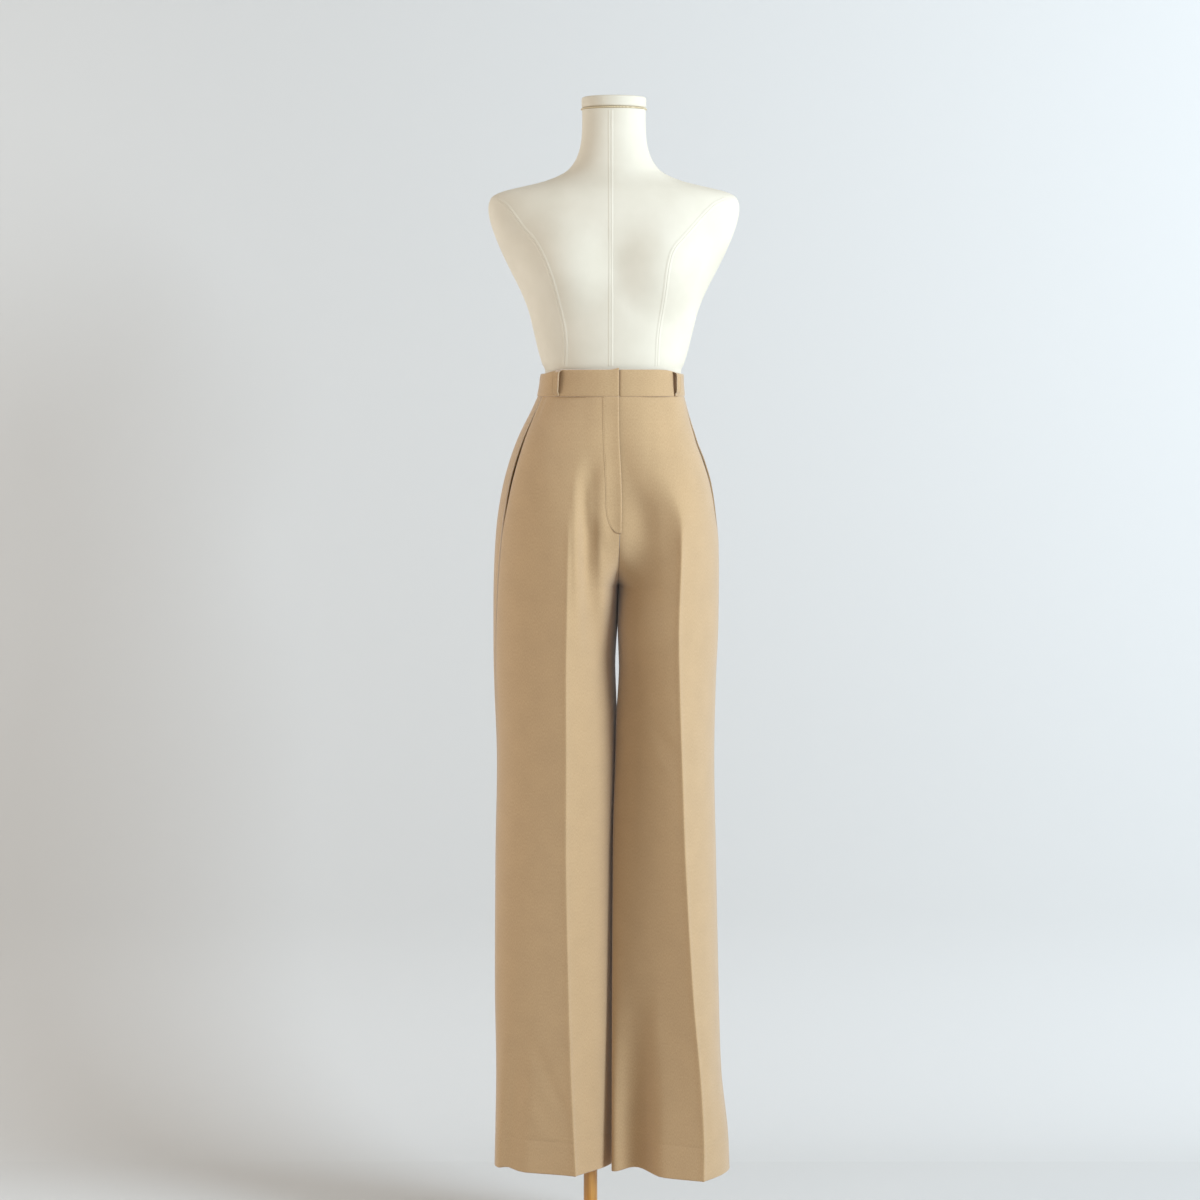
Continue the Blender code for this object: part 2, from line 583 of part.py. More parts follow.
def make_belt_loop(loop, right, left, material):
    """A folded strap sewn at the band's two edges, standing off it between them."""
    levels = []
    for level in LOOP_LEVELS:
        z = WAIST_SEAM_Z + LOOP_INSET + (BAND_HEIGHT - 2 * LOOP_INSET) * level.share
        right_half, left_half = (band_half(leg, z, 0.0, 0.0) for leg in (right, left))
        middle = row_length(right_half) * loop.share
        if loop.half == "left":
            middle = row_length(right_half) + row_length(left_half) * (1.0 - loop.share)
        whole = right_half + left_half[::-1][1:]
        strap = stretch_of(whole, middle - LOOP_WIDTH / 2, middle + LOOP_WIDTH / 2, 2)
        flat = [spot._replace(nx=strap[1].nx, ny=strap[1].ny) for spot in strap]
        face = BAND_LEVELS[2].face + SEAM_GAP + LOOP_THICKNESS + LOOP_STAND_OFF * level.bow
        levels.append((z, moved(flat, face), LOOP_THICKNESS))
    return wall("belt_loop_" + loop.name, levels, material)


def bust_swell(x, z):
    """How far the smooth bust of the form stands out."""
    across = (abs(x) - BUST_X) / BUST_WIDTH
    up = (z - BUST_Z) / BUST_HEIGHT
    reach = across * across + up * up
    return BUST_DEPTH * (1.0 - reach) ** 2 if reach < 1.0 else 0.0


def torso_levels():
    """The table's rings with smooth ones between them where they lie far apart."""
    levels = []
    for low, high in zip(TORSO_RINGS, TORSO_RINGS[1:]):
        parts = 1 + int((high.z - low.z) / TORSO_RING_GAP)
        heights = [low.z + (high.z - low.z) * i / parts for i in range(parts)]
        levels += [Ring(z, *(along(TORSO_RINGS, column, z) for column in Ring._fields[1:]))
                   for z in heights]
    return levels + TORSO_RINGS[-1:]


def torso_place(ring, angle):
    power = 2.0 / ring.square
    x_share, y_share = cos(angle), sin(angle)
    x = ring.half_width * abs(x_share) ** power * (1 if x_share > 0 else -1)
    depth = ring.back if y_share > 0 else -ring.front
    y = depth * abs(y_share) ** power * (1 if y_share > 0 else -1)
    if y_share < 0:
        y -= bust_swell(x, ring.z) * smooth_step(abs(y_share) * 1.6)
    return Vector((x + NECK_X * smooth_step((ring.z - 1.3) / 0.2), y, ring.z))


def make_torso(material):
    builder = bmesh.new()
    rings = []
    for ring in torso_levels():
        rings.append([builder.verts.new(torso_place(ring, 2 * pi * i / TORSO_SEGMENTS))
                      for i in range(TORSO_SEGMENTS)])
    for low, high in zip(rings, rings[1:]):
        for i in range(TORSO_SEGMENTS):
            k = (i + 1) % TORSO_SEGMENTS
            builder.faces.new((low[i], low[k], high[k], high[i]))
    builder.faces.new(rings[0])
    builder.faces.new(rings[-1])
    return add_solid("torso", builder, material)


def turned(name, profile, centre, material):
    """A closed turned solid. The profile is (radius, z) from axis to axis."""
    builder = bmesh.new()
    rings = []
    for radius, z in profile:
        if radius == 0.0:
            rings.append([builder.verts.new((centre.x, centre.y, z))])
            continue
        turns = [2 * pi * i / TURNED_SEGMENTS for i in range(TURNED_SEGMENTS)]
        rings.append([builder.verts.new((centre.x + radius * cos(turn),
                                         centre.y + radius * sin(turn), z)) for turn in turns])
    for low, high in zip(rings, rings[1:]):
        for i in range(TURNED_SEGMENTS):
            k = (i + 1) % TURNED_SEGMENTS
            corners = [low[i % len(low)], low[k % len(low)], high[k % len(high)], high[i % len(high)]]
            builder.faces.new(dict.fromkeys(corners))
    return add_solid(name, builder, material)


def make_neck(material, ring_material):
    """The cap that closes the neck, on a thin gilt cord."""
    centre = Vector((NECK_X, NECK_Y))
    ring_z = TORSO_TOP_Z + SEAM_GAP
    ring_top = ring_z + RING_HEIGHT
    proud = CAP_RADIUS + RING_PROUD
    turned("neck_ring", [(0.0, ring_z), (CAP_RADIUS, ring_z), (proud, ring_z + RING_HEIGHT * 0.3),
                         (proud, ring_z + RING_HEIGHT * 0.7), (CAP_RADIUS, ring_top),
                         (0.0, ring_top)], centre, ring_material)
    low = ring_top + SEAM_GAP
    top = low + CAP_HEIGHT
    turned("neck_cap", [(0.0, low), (CAP_RADIUS, low), (CAP_RADIUS, top - 0.004),
                        (CAP_RADIUS - 0.0012, top - 0.0012), (CAP_RADIUS - 0.004, top),
                        (CAP_RADIUS * 0.5, top + 0.0010), (0.0, top + 0.0014)], centre, material)


def make_stand(material):
    """The pole between the form's underside and its socket in the round base."""
    centre = Vector((POLE_X, 0.0))
    foot = BASE_HEIGHT + HUB_HEIGHT - SOCKET_DEPTH
    top = TORSO_BOTTOM_Z - SEAM_GAP
    turned("pole", [(0.0, foot + SEAM_GAP), (POLE_RADIUS, foot + SEAM_GAP),
                    (POLE_RADIUS, top), (0.0, top)], centre, material)
    socket = POLE_RADIUS + SEAM_GAP
    hub_top = BASE_HEIGHT + HUB_HEIGHT
    turned("base", [(0.0, 0.0), (BASE_RADIUS - 0.003, 0.0), (BASE_RADIUS, 0.003),
                    (BASE_RADIUS, BASE_HEIGHT - 0.008), (BASE_RADIUS - 0.003, BASE_HEIGHT - 0.002),
                    (BASE_RADIUS - 0.009, BASE_HEIGHT), (HUB_RADIUS + 0.010, BASE_HEIGHT + 0.002),
                    (HUB_RADIUS, BASE_HEIGHT + 0.010), (HUB_RADIUS - 0.006, hub_top - 0.002),
                    (HUB_RADIUS - 0.008, hub_top), (socket, hub_top), (socket, foot),
                    (0.0, foot)], centre, material)


def main():
    clear_scene()
    wool = finish_material("camel_wool", CAMEL, 0.85)
    inside = finish_material("camel_wool_inside", CAMEL_INSIDE, 0.9)
    linen = finish_material("form_cover", LINEN, 0.8)
    gilt = finish_material("gilt_cord", GILT, 0.5)
    wood = finish_material("varnished_wood", VARNISH, 0.35)
    right = Leg("right", -1.0, RIGHT_SECTIONS, 0.127)
    left = Leg("left", 1.0, LEFT_SECTIONS, 0.124)
    for leg in (right, left):
        wall("front_" + leg.name, front_levels(leg), wool)
        wall("back_" + leg.name, back_levels(leg), wool)
        make_pocket_facing(leg, inside)
    make_waistband(right, left, wool)
    make_waistband(left, right, wool)
    make_fly_lap(right, wool)
    for loop in BELT_LOOPS:
        make_belt_loop(loop, right, left, wool)
    make_torso(linen)
    make_neck(linen, gilt)
    make_stand(wood)


main()
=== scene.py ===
"""Dresses straight-leg wool trousers on a limbless dress form: cloth, stitching, form, stage.

Metres, +Z up. The wearer faces -Y, so the wearer's right leg is on the -X side. Every leg is
worked out in level sections that run from its side over the crease to the inner leg.
"""

from collections import namedtuple
from math import acos, atan2, cos, exp, pi, radians, sin, sqrt

import bpy
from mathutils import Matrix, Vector, noise


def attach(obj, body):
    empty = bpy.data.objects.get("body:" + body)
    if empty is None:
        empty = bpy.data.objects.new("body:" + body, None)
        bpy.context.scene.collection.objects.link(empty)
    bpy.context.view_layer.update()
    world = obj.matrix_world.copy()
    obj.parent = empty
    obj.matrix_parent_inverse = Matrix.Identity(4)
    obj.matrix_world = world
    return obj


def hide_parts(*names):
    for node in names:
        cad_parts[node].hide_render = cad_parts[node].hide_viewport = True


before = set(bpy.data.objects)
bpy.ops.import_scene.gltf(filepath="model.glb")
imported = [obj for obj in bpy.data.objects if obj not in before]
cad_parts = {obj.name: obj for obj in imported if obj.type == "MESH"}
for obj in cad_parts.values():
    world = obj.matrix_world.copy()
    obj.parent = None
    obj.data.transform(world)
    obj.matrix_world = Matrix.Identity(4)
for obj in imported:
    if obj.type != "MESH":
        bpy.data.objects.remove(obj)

bl_info = {
    "name": "Wool Trousers on a Dress Form",
    "version": (1, 0, 0),
    "blender": (4, 5, 0),
    "location": "View3D > Sidebar > Trousers",
    "description": "Builds pressed wool trousers, the form that wears them and a photo stage",
    "category": "Object",
}

# Driving sizes of the garment
CLOTH = 0.0015
SEAM_GAP = 0.0003
WAIST_SEAM_Z = 1.2565
BAND_HEIGHT = 0.038
CROTCH_Z = 0.984
CROTCH_Y = 0.012
RIGHT_HEM_Z = 0.127
LEFT_HEM_Z = 0.124
TURN_UP = 0.048
FLY_WIDTH = 0.021
FLY_BOTTOM_Z = 1.063
FLY_ROUND = 0.042
POCKET_TOP_Z = 1.236
POCKET_BOTTOM_Z = 1.062
FACING_REACH = 0.018
LOOP_WIDTH = 0.010
LOOP_STAND_OFF = 0.0046
UNDERLAP = 0.030

# Driving sizes of the dress form and its stand
POLE_X = -0.033
POLE_RADIUS = 0.010
BASE_RADIUS = 0.148
BASE_HEIGHT = 0.018
HUB_RADIUS = 0.024
HUB_HEIGHT = 0.034
SOCKET_DEPTH = 0.022
TORSO_BOTTOM_Z = 1.030
TORSO_TOP_Z = 1.6667
NECK_X = 0.001
NECK_Y = 0.008
CAP_RADIUS = 0.0465
CAP_HEIGHT = 0.016
RING_HEIGHT = 0.0022
RING_PROUD = 0.0012
RING_ROUND_SHARE = 0.45
CAP_ROUND = 0.0035
POLE_ROUND = 0.0015
BASE_ROUND = 0.006
HUB_ROUND = 0.004
HUB_TAPER = 0.006
HUB_SUNK = 0.002

# A leg's sections. x and y of the side, front crease and back crease are world places. The
# slopes, in degrees, say how far the cloth turns back from the X axis as it leaves a crease
# outwards and inwards. seam is the share of the way from the side to the front crease at
# which the side seam lies.
Section = namedtuple("Section", "z side_x crease_x crease_y out_slope in_slope "
                     "back_x back_y back_out back_in seam")
RIGHT_SECTIONS = [
    Section(1.293, -0.1040, -0.044, -0.0755, 22, -20, -0.050, 0.0745, 22, -20, 0.26),
    Section(1.2565, -0.1095, -0.045, -0.0790, 20, -18, -0.052, 0.0780, 22, -20, 0.27),
    Section(1.193, -0.1392, -0.052, -0.1010, 17, -14, -0.064, 0.0980, 20, -16, 0.29),
    Section(1.139, -0.1570, -0.0586, -0.1140, 17, -9, -0.078, 0.1150, 22, -10, 0.29),
    Section(1.083, -0.1675, -0.0628, -0.1200, 19, 4, -0.092, 0.1250, 25, 2, 0.28),
    Section(1.030, -0.1720, -0.0645, -0.1215, 21, 12, -0.099, 0.1255, 29, 16, 0.25),
    Section(0.961, -0.1740, -0.0657, -0.1210, 23, 26, -0.104, 0.1180, 31, 30, 0.20),
    Section(0.865, -0.1735, -0.0672, -0.1170, 23, 43, -0.106, 0.1120, 33, 34, 0.14),
    Section(0.730, -0.1695, -0.0672, -0.1090, 23, 44, -0.106, 0.1060, 34, 34, 0.09),
    Section(0.586, -0.1720, -0.0677, -0.1000, 23, 46, -0.104, 0.0990, 34, 34, 0.04),
    Section(0.390, -0.1733, -0.0642, -0.0880, 23, 50, -0.102, 0.0920, 34, 34, 0.0),
    Section(0.267, -0.1718, -0.0609, -0.0800, 24, 54, -0.100, 0.0880, 34, 34, 0.0),
    Section(0.127, -0.1745, -0.0545, -0.0710, 26, 58, -0.096, 0.0840, 34, 34, 0.0),
]
LEFT_SECTIONS = [
    Section(1.293, 0.1010, 0.044, -0.0765, 21, -18, 0.040, 0.0760, 21, -18, 0.10),
    Section(1.2565, 0.1033, 0.045, -0.0800, 19, -16, 0.041, 0.0790, 21, -18, 0.11),
    Section(1.193, 0.1215, 0.050, -0.1020, 18, -12, 0.046, 0.1000, 20, -14, 0.12),
    Section(1.164, 0.1325, 0.059, -0.1110, 22, -7, 0.050, 0.1090, 21, -10, 0.12),
    Section(1.132, 0.1418, 0.077, -0.1180, 30, 3, 0.054, 0.1170, 23, -4, 0.12),
    Section(1.090, 0.1485, 0.0945, -0.1225, 42, 18, 0.058, 0.1250, 27, 6, 0.12),
    Section(1.043, 0.1532, 0.0962, -0.1255, 48, 28, 0.062, 0.1265, 29, 17, 0.10),
    Section(0.926, 0.1532, 0.0928, -0.1240, 50, 26, 0.065, 0.1190, 31, 31, 0.06),
    Section(0.843, 0.1498, 0.0942, -0.1200, 50, 24, 0.066, 0.1150, 33, 34, 0.04),
    Section(0.730, 0.1478, 0.0980, -0.1120, 50, 25, 0.067, 0.1090, 34, 34, 0.0),
    Section(0.586, 0.1508, 0.1035, -0.1060, 50, 27, 0.070, 0.1010, 34, 34, 0.0),
    Section(0.391, 0.1553, 0.1153, -0.0970, 50, 28, 0.077, 0.0930, 34, 34, 0.0),
    Section(0.269, 0.1595, 0.1262, -0.0915, 50, 25, 0.082, 0.0890, 34, 34, 0.0),
    Section(0.178, 0.1695, 0.1312, -0.0890, 50, 22, 0.086, 0.0870, 34, 34, 0.0),
    Section(0.124, 0.1720, 0.1311, -0.0885, 50, 20, 0.088, 0.0860, 34, 34, 0.0),
]

# The line between the legs. Above the crotch front_y and back_y are the centre seams; below
# it right_y and left_y are the two inseams. lap is how far each leg reaches past x. A leg's
# flat is how long its inner side runs straight at the inseam, as a share of its span.
Middle = namedtuple("Middle", "z x lap front_y back_y right_y left_y right_flat left_flat")
MIDDLE = [
    Middle(1.293, 0.0060, -0.0002, -0.0830, 0.0815, 0.012, 0.012, 0.58, 0.58),
    Middle(1.2565, 0.0058, -0.0002, -0.0860, 0.0840, 0.012, 0.012, 0.58, 0.58),
    Middle(1.193, 0.0066, -0.0002, -0.1015, 0.0980, 0.012, 0.012, 0.58, 0.58),
    Middle(1.139, 0.0093, -0.0002, -0.1085, 0.1080, 0.012, 0.012, 0.58, 0.58),
    Middle(1.090, 0.0100, -0.0002, -0.1050, 0.1110, 0.012, 0.012, 0.58, 0.58),
    Middle(1.030, 0.0082, -0.0002, -0.1020, 0.1100, 0.012, 0.012, 0.58, 0.58),
    Middle(0.984, 0.0074, -0.0002, -0.1020, 0.1100, 0.012, 0.012, 0.58, 0.58),
    Middle(0.955, 0.0070, 0.0000, -0.1020, 0.1100, 0.021, 0.001, 0.54, 0.54),
    Middle(0.925, 0.0066, 0.0002, -0.1020, 0.1100, 0.026, -0.010, 0.47, 0.47),
    Middle(0.890, 0.0060, -0.0016, -0.1020, 0.1100, 0.028, -0.016, 0.46, 0.32),
    Middle(0.866, 0.0059, -0.0024, -0.1020, 0.1100, 0.029, -0.018, 0.48, 0.24),
    Middle(0.843, 0.0058, -0.0018, -0.1020, 0.1100, 0.029, -0.020, 0.50, 0.18),
    Middle(0.795, 0.0052, 0.0006, -0.1020, 0.1100, 0.030, -0.022, 0.54, 0.12),
    Middle(0.734, 0.0044, 0.0014, -0.1020, 0.1100, 0.031, -0.024, 0.55, 0.09),
    Middle(0.636, 0.0020, 0.0020, -0.1020, 0.1100, 0.031, -0.025, 0.55, 0.08),
    Middle(0.570, 0.0014, 0.0020, -0.1020, 0.1100, 0.031, -0.026, 0.54, 0.08),
    Middle(0.372, 0.0006, 0.0022, -0.1020, 0.1100, 0.031, -0.027, 0.50, 0.08),
    Middle(0.127, 0.0002, 0.0024, -0.1020, 0.1100, 0.030, -0.027, 0.38, 0.08),
]
FRONT_ARC_TOP_Z = 1.070
BACK_ARC_TOP_Z = 1.080

# Folds follow a soft curve through three places on a panel. A fold is a trough where depth
# is positive and a ridge where it is negative. above and below are the lengths of its fade.
Fold = namedtuple("Fold", "leg side x_top z_top x_mid z_mid x_end z_end width depth above below")
FOLDS = [
    Fold("right", "front", -0.022, 1.190, -0.036, 1.118, -0.020, 1.020, 0.022, 0.0075, 0.06, 0.06),
    Fold("right", "front", -0.040, 1.105, -0.035, 1.000, -0.028, 0.850, 0.020, 0.0115, 0.07, 0.12),
    Fold("left", "front", 0.034, 1.160, 0.040, 1.060, 0.042, 0.920, 0.030, 0.0040, 0.09, 0.10),
    Fold("left", "front", 0.036, 0.440, 0.035, 0.280, 0.034, 0.100, 0.036, 0.0240, 0.29, 0.01),
    Fold("right", "front", -0.128, 0.420, -0.140, 0.280, -0.152, 0.100, 0.022, 0.0070, 0.25, 0.01),
    Fold("right", "back", -0.052, 1.020, -0.050, 0.900, -0.058, 0.740, 0.030, 0.0070, 0.09, 0.12),
    Fold("left", "back", 0.036, 1.000, 0.036, 0.880, 0.038, 0.700, 0.024, 0.0060, 0.08, 0.13),
    Fold("right", "back", -0.140, 0.900, -0.136, 0.760, -0.130, 0.560, 0.026, 0.0045, 0.12, 0.15),
    Fold("left", "back", 0.112, 0.520, 0.116, 0.330, 0.122, 0.110, 0.028, 0.0060, 0.24, 0.01),
]

# The small creases: the sharp side of the fold by the fly, soft drag lines above the hems,
# one at a knee, and like ones behind
SMALL_FOLDS = [
    Fold("right", "front", -0.043, 1.150, -0.041, 1.060, -0.037, 0.930, 0.010, 0.0024, 0.05, 0.09),
    Fold("right", "front", -0.054, 1.150, -0.052, 1.060, -0.047, 0.930, 0.010, -0.0012, 0.05, 0.09),
    Fold("right", "front", -0.129, 0.345, -0.093, 0.270, -0.062, 0.205, 0.015, 0.0017, 0.04, 0.04),
    Fold("right", "front", -0.136, 0.255, -0.112, 0.205, -0.090, 0.165, 0.012, -0.0011, 0.03, 0.03),
    Fold("left", "front", 0.052, 0.800, 0.072, 0.768, 0.092, 0.738, 0.016, 0.0016, 0.03, 0.03),
    Fold("left", "front", 0.050, 0.762, 0.066, 0.736, 0.086, 0.712, 0.013, -0.0010, 0.02, 0.02),
    Fold("left", "front", 0.066, 0.420, 0.058, 0.300, 0.054, 0.190, 0.012, -0.0014, 0.10, 0.07),
    Fold("left", "front", 0.142, 0.330, 0.150, 0.250, 0.156, 0.170, 0.010, 0.0012, 0.06, 0.05),
    Fold("right", "back", -0.130, 0.780, -0.104, 0.742, -0.080, 0.712, 0.015, 0.0015, 0.03, 0.03),
    Fold("right", "back", -0.070, 0.370, -0.092, 0.285, -0.108, 0.205, 0.014, 0.0014, 0.06, 0.05),
    Fold("left", "back", 0.060, 0.815, 0.086, 0.772, 0.106, 0.736, 0.014, 0.0013, 0.03, 0.03),
    Fold("left", "back", 0.064, 0.300, 0.084, 0.236, 0.100, 0.180, 0.012, -0.0011, 0.04, 0.04),
]

# Columns and rows of the cloth's mesh
FRONT_OUTER_STEPS = 24
FRONT_INNER_STEPS = 34
BACK_INNER_STEPS = 28
BACK_OUTER_STEPS = 24
BACK_WRAP_STEPS = 8
BAND_STEPS = 20
ROW_GAP = 0.005
SEAM_SHARE_LEAST = 0.03

# The form's sections: half width, front and back depth, and how square the section is
Ring = namedtuple("Ring", "z half_width front back square")
TORSO_RINGS = [
    Ring(1.0300, 0.112, -0.056, 0.068, 2.1),
    Ring(1.0330, 0.128, -0.067, 0.080, 2.1),
    Ring(1.0420, 0.137, -0.076, 0.091, 2.1),
    Ring(1.0700, 0.142, -0.089, 0.101, 2.1),
    Ring(1.1060, 0.1385, -0.096, 0.104, 2.1),
    Ring(1.1500, 0.127, -0.096, 0.098, 2.1),
    Ring(1.1930, 0.1125, -0.090, 0.090, 2.1),
    Ring(1.2250, 0.1035, -0.083, 0.082, 2.1),
    Ring(1.2470, 0.0990, -0.0785, 0.0775, 2.1),
    Ring(1.2700, 0.0975, -0.0765, 0.0755, 2.1),
    Ring(1.2945, 0.0985, -0.0770, 0.0760, 2.1),
    Ring(1.3015, 0.1020, -0.0785, 0.0775, 2.1),
    Ring(1.3220, 0.1082, -0.0820, 0.0800, 2.15),
    Ring(1.3520, 0.1155, -0.0870, 0.0840, 2.2),
    Ring(1.3810, 0.1230, -0.0910, 0.0880, 2.2),
    Ring(1.4090, 0.1345, -0.0930, 0.0915, 2.2),
    Ring(1.4380, 0.1492, -0.0935, 0.0945, 2.2),
    Ring(1.4670, 0.1632, -0.0925, 0.0965, 2.2),
    Ring(1.4950, 0.1744, -0.0890, 0.0965, 2.15),
    Ring(1.5140, 0.1796, -0.0850, 0.0955, 2.1),
    Ring(1.5280, 0.1808, -0.0810, 0.0940, 2.0),
    Ring(1.5380, 0.1784, -0.0775, 0.0920, 1.9),
    Ring(1.5445, 0.1730, -0.0750, 0.0905, 1.8),
    Ring(1.5510, 0.1575, -0.0720, 0.0880, 1.75),
    Ring(1.5580, 0.1275, -0.0675, 0.0850, 1.75),
    Ring(1.5650, 0.0990, -0.0620, 0.0810, 1.8),
    Ring(1.5760, 0.0730, -0.0545, 0.0740, 1.85),
    Ring(1.5880, 0.0598, -0.0485, 0.0665, 1.95),
    Ring(1.6030, 0.0518, -0.0440, 0.0610, 2.0),
    Ring(1.6200, 0.0474, -0.0405, 0.0565, 2.0),
    Ring(1.6400, 0.0458, -0.0385, 0.0545, 2.0),
    Ring(1.6667, 0.0456, -0.0380, 0.0540, 2.0),
]
TORSO_SEGMENTS = 128
TORSO_RING_GAP = 0.006
BUST_X = 0.078
BUST_Z = 1.441
BUST_WIDTH = 0.080
BUST_HEIGHT = 0.088
BUST_DEPTH = 0.016
BUST_EASE = 1.6
NECK_SHIFT_FROM_Z = 1.3
NECK_SHIFT_LENGTH = 0.2
ANGLE_HALVINGS = 32
COVER_SEAM_STEP = 0.003
COVER_SEAM_TURN = 0.01
COVER_SEAM_RISE = 0.002

# The seams of the form's cover, as places across it at each height
SeamPlace = namedtuple("SeamPlace", "z x")
RIGHT_FRONT_SEAM = [
    SeamPlace(1.300, -0.069), SeamPlace(1.344, -0.069), SeamPlace(1.392, -0.079),
    SeamPlace(1.439, -0.093), SeamPlace(1.475, -0.111), SeamPlace(1.495, -0.128),
    SeamPlace(1.527, -0.152), SeamPlace(1.538, -0.166),
]
LEFT_FRONT_SEAM = [
    SeamPlace(1.300, 0.062), SeamPlace(1.344, 0.064), SeamPlace(1.396, 0.072),
    SeamPlace(1.441, 0.078), SeamPlace(1.464, 0.085), SeamPlace(1.481, 0.099),
    SeamPlace(1.528, 0.142), SeamPlace(1.538, 0.160),
]
CENTER_FRONT_SEAM = [SeamPlace(1.300, -0.004), SeamPlace(1.664, -0.004)]
CENTER_BACK_SEAM = [SeamPlace(1.300, 0.002), SeamPlace(1.664, 0.001)]
RIGHT_BACK_SEAM = [SeamPlace(1.300, -0.058), SeamPlace(1.400, -0.066), SeamPlace(1.480, -0.084),
                   SeamPlace(1.546, -0.112)]
LEFT_BACK_SEAM = [SeamPlace(1.300, 0.058), SeamPlace(1.400, 0.066), SeamPlace(1.480, 0.084),
                  SeamPlace(1.546, 0.112)]

Spot = namedtuple("Spot", "x y nx ny")
# A place in a wall of cloth: its outer and inner points and its place on the flat cloth
Cell = namedtuple("Cell", "outer inner flat")


def smooth_step(share):
    share = min(max(share, 0.0), 1.0)
    return share * share * (3.0 - 2.0 * share)


def hump(distance, reach):
    """1 at no distance, falling softly to nothing at a few times the reach."""
    return exp(-(distance / reach) ** 2)


def eased(i, steps):
    """A share that takes small steps near 0 and 1."""
    return (1.0 - cos(pi * i / steps)) / 2


def along(rows, column, z):
    """A table's column at any height: a smooth curve through its rows."""
    rows = sorted(rows, key=lambda row: row.z)
    if z <= rows[0].z:
        return getattr(rows[0], column)
    if z >= rows[-1].z:
        return getattr(rows[-1], column)
    upper = next(i for i, row in enumerate(rows) if row.z > z)
    heights = [row.z for row in rows]
    values = [getattr(row, column) for row in rows]

    def slope(i):
        low, high = max(i - 1, 0), min(i + 1, len(rows) - 1)
        return (values[high] - values[low]) / (heights[high] - heights[low])

    low = upper - 1
    gap = heights[upper] - heights[low]
    t = (z - heights[low]) / gap
    rise = values[low] * (2 * t**3 - 3 * t**2 + 1) + values[upper] * (3 * t**2 - 2 * t**3)
    turn = slope(low) * (t**3 - 2 * t**2 + t) + slope(upper) * (t**3 - t**2)
    return rise + turn * gap


def bezier(span, t):
    """Place and direction at t on a span given by its four control places."""
    a, b, c, d = span
    s = 1.0 - t
    place = a * s**3 + b * 3 * s * s * t + c * 3 * s * t * t + d * t**3
    heading = (b - a) * s * s + (c - b) * 2 * s * t + (d - c) * t * t
    return place, heading.normalized()


HANDLE = 0.36
CREASE_HANDLE = 0.60
DEPTH_HALVINGS = 30
LEAST_MITRE_SHARE = 0.6


def span_between(start, start_angle, end, end_angle, first_reach=None, last_share=HANDLE):
    """A smooth span. The angles, in degrees, head into the span from each of its ends."""
    length = (end - start).length
    first_reach = first_reach or length * HANDLE
    first = Vector((cos(radians(start_angle)), sin(radians(start_angle)))) * first_reach
    last = Vector((cos(radians(end_angle)), sin(radians(end_angle)))) * length * last_share
    return start, start + first, end + last, end


def first_part(span, t):
    """The part of a span before t, as a span of its own."""
    a, b, c, d = span
    ab, bc, cd = a.lerp(b, t), b.lerp(c, t), c.lerp(d, t)
    return a, ab, ab.lerp(bc, t), ab.lerp(bc, t).lerp(bc.lerp(cd, t), t)


def share_at_depth(span, y):
    """Where a span that runs steadily back or forward reaches a depth."""
    low, high = 0.0, 1.0
    runs_back = span[3].y > span[0].y
    for _ in range(DEPTH_HALVINGS):
        middle = (low + high) / 2
        if (bezier(span, middle)[0].y < y) == runs_back:
            low = middle
        else:
            high = middle
    return (low + high) / 2


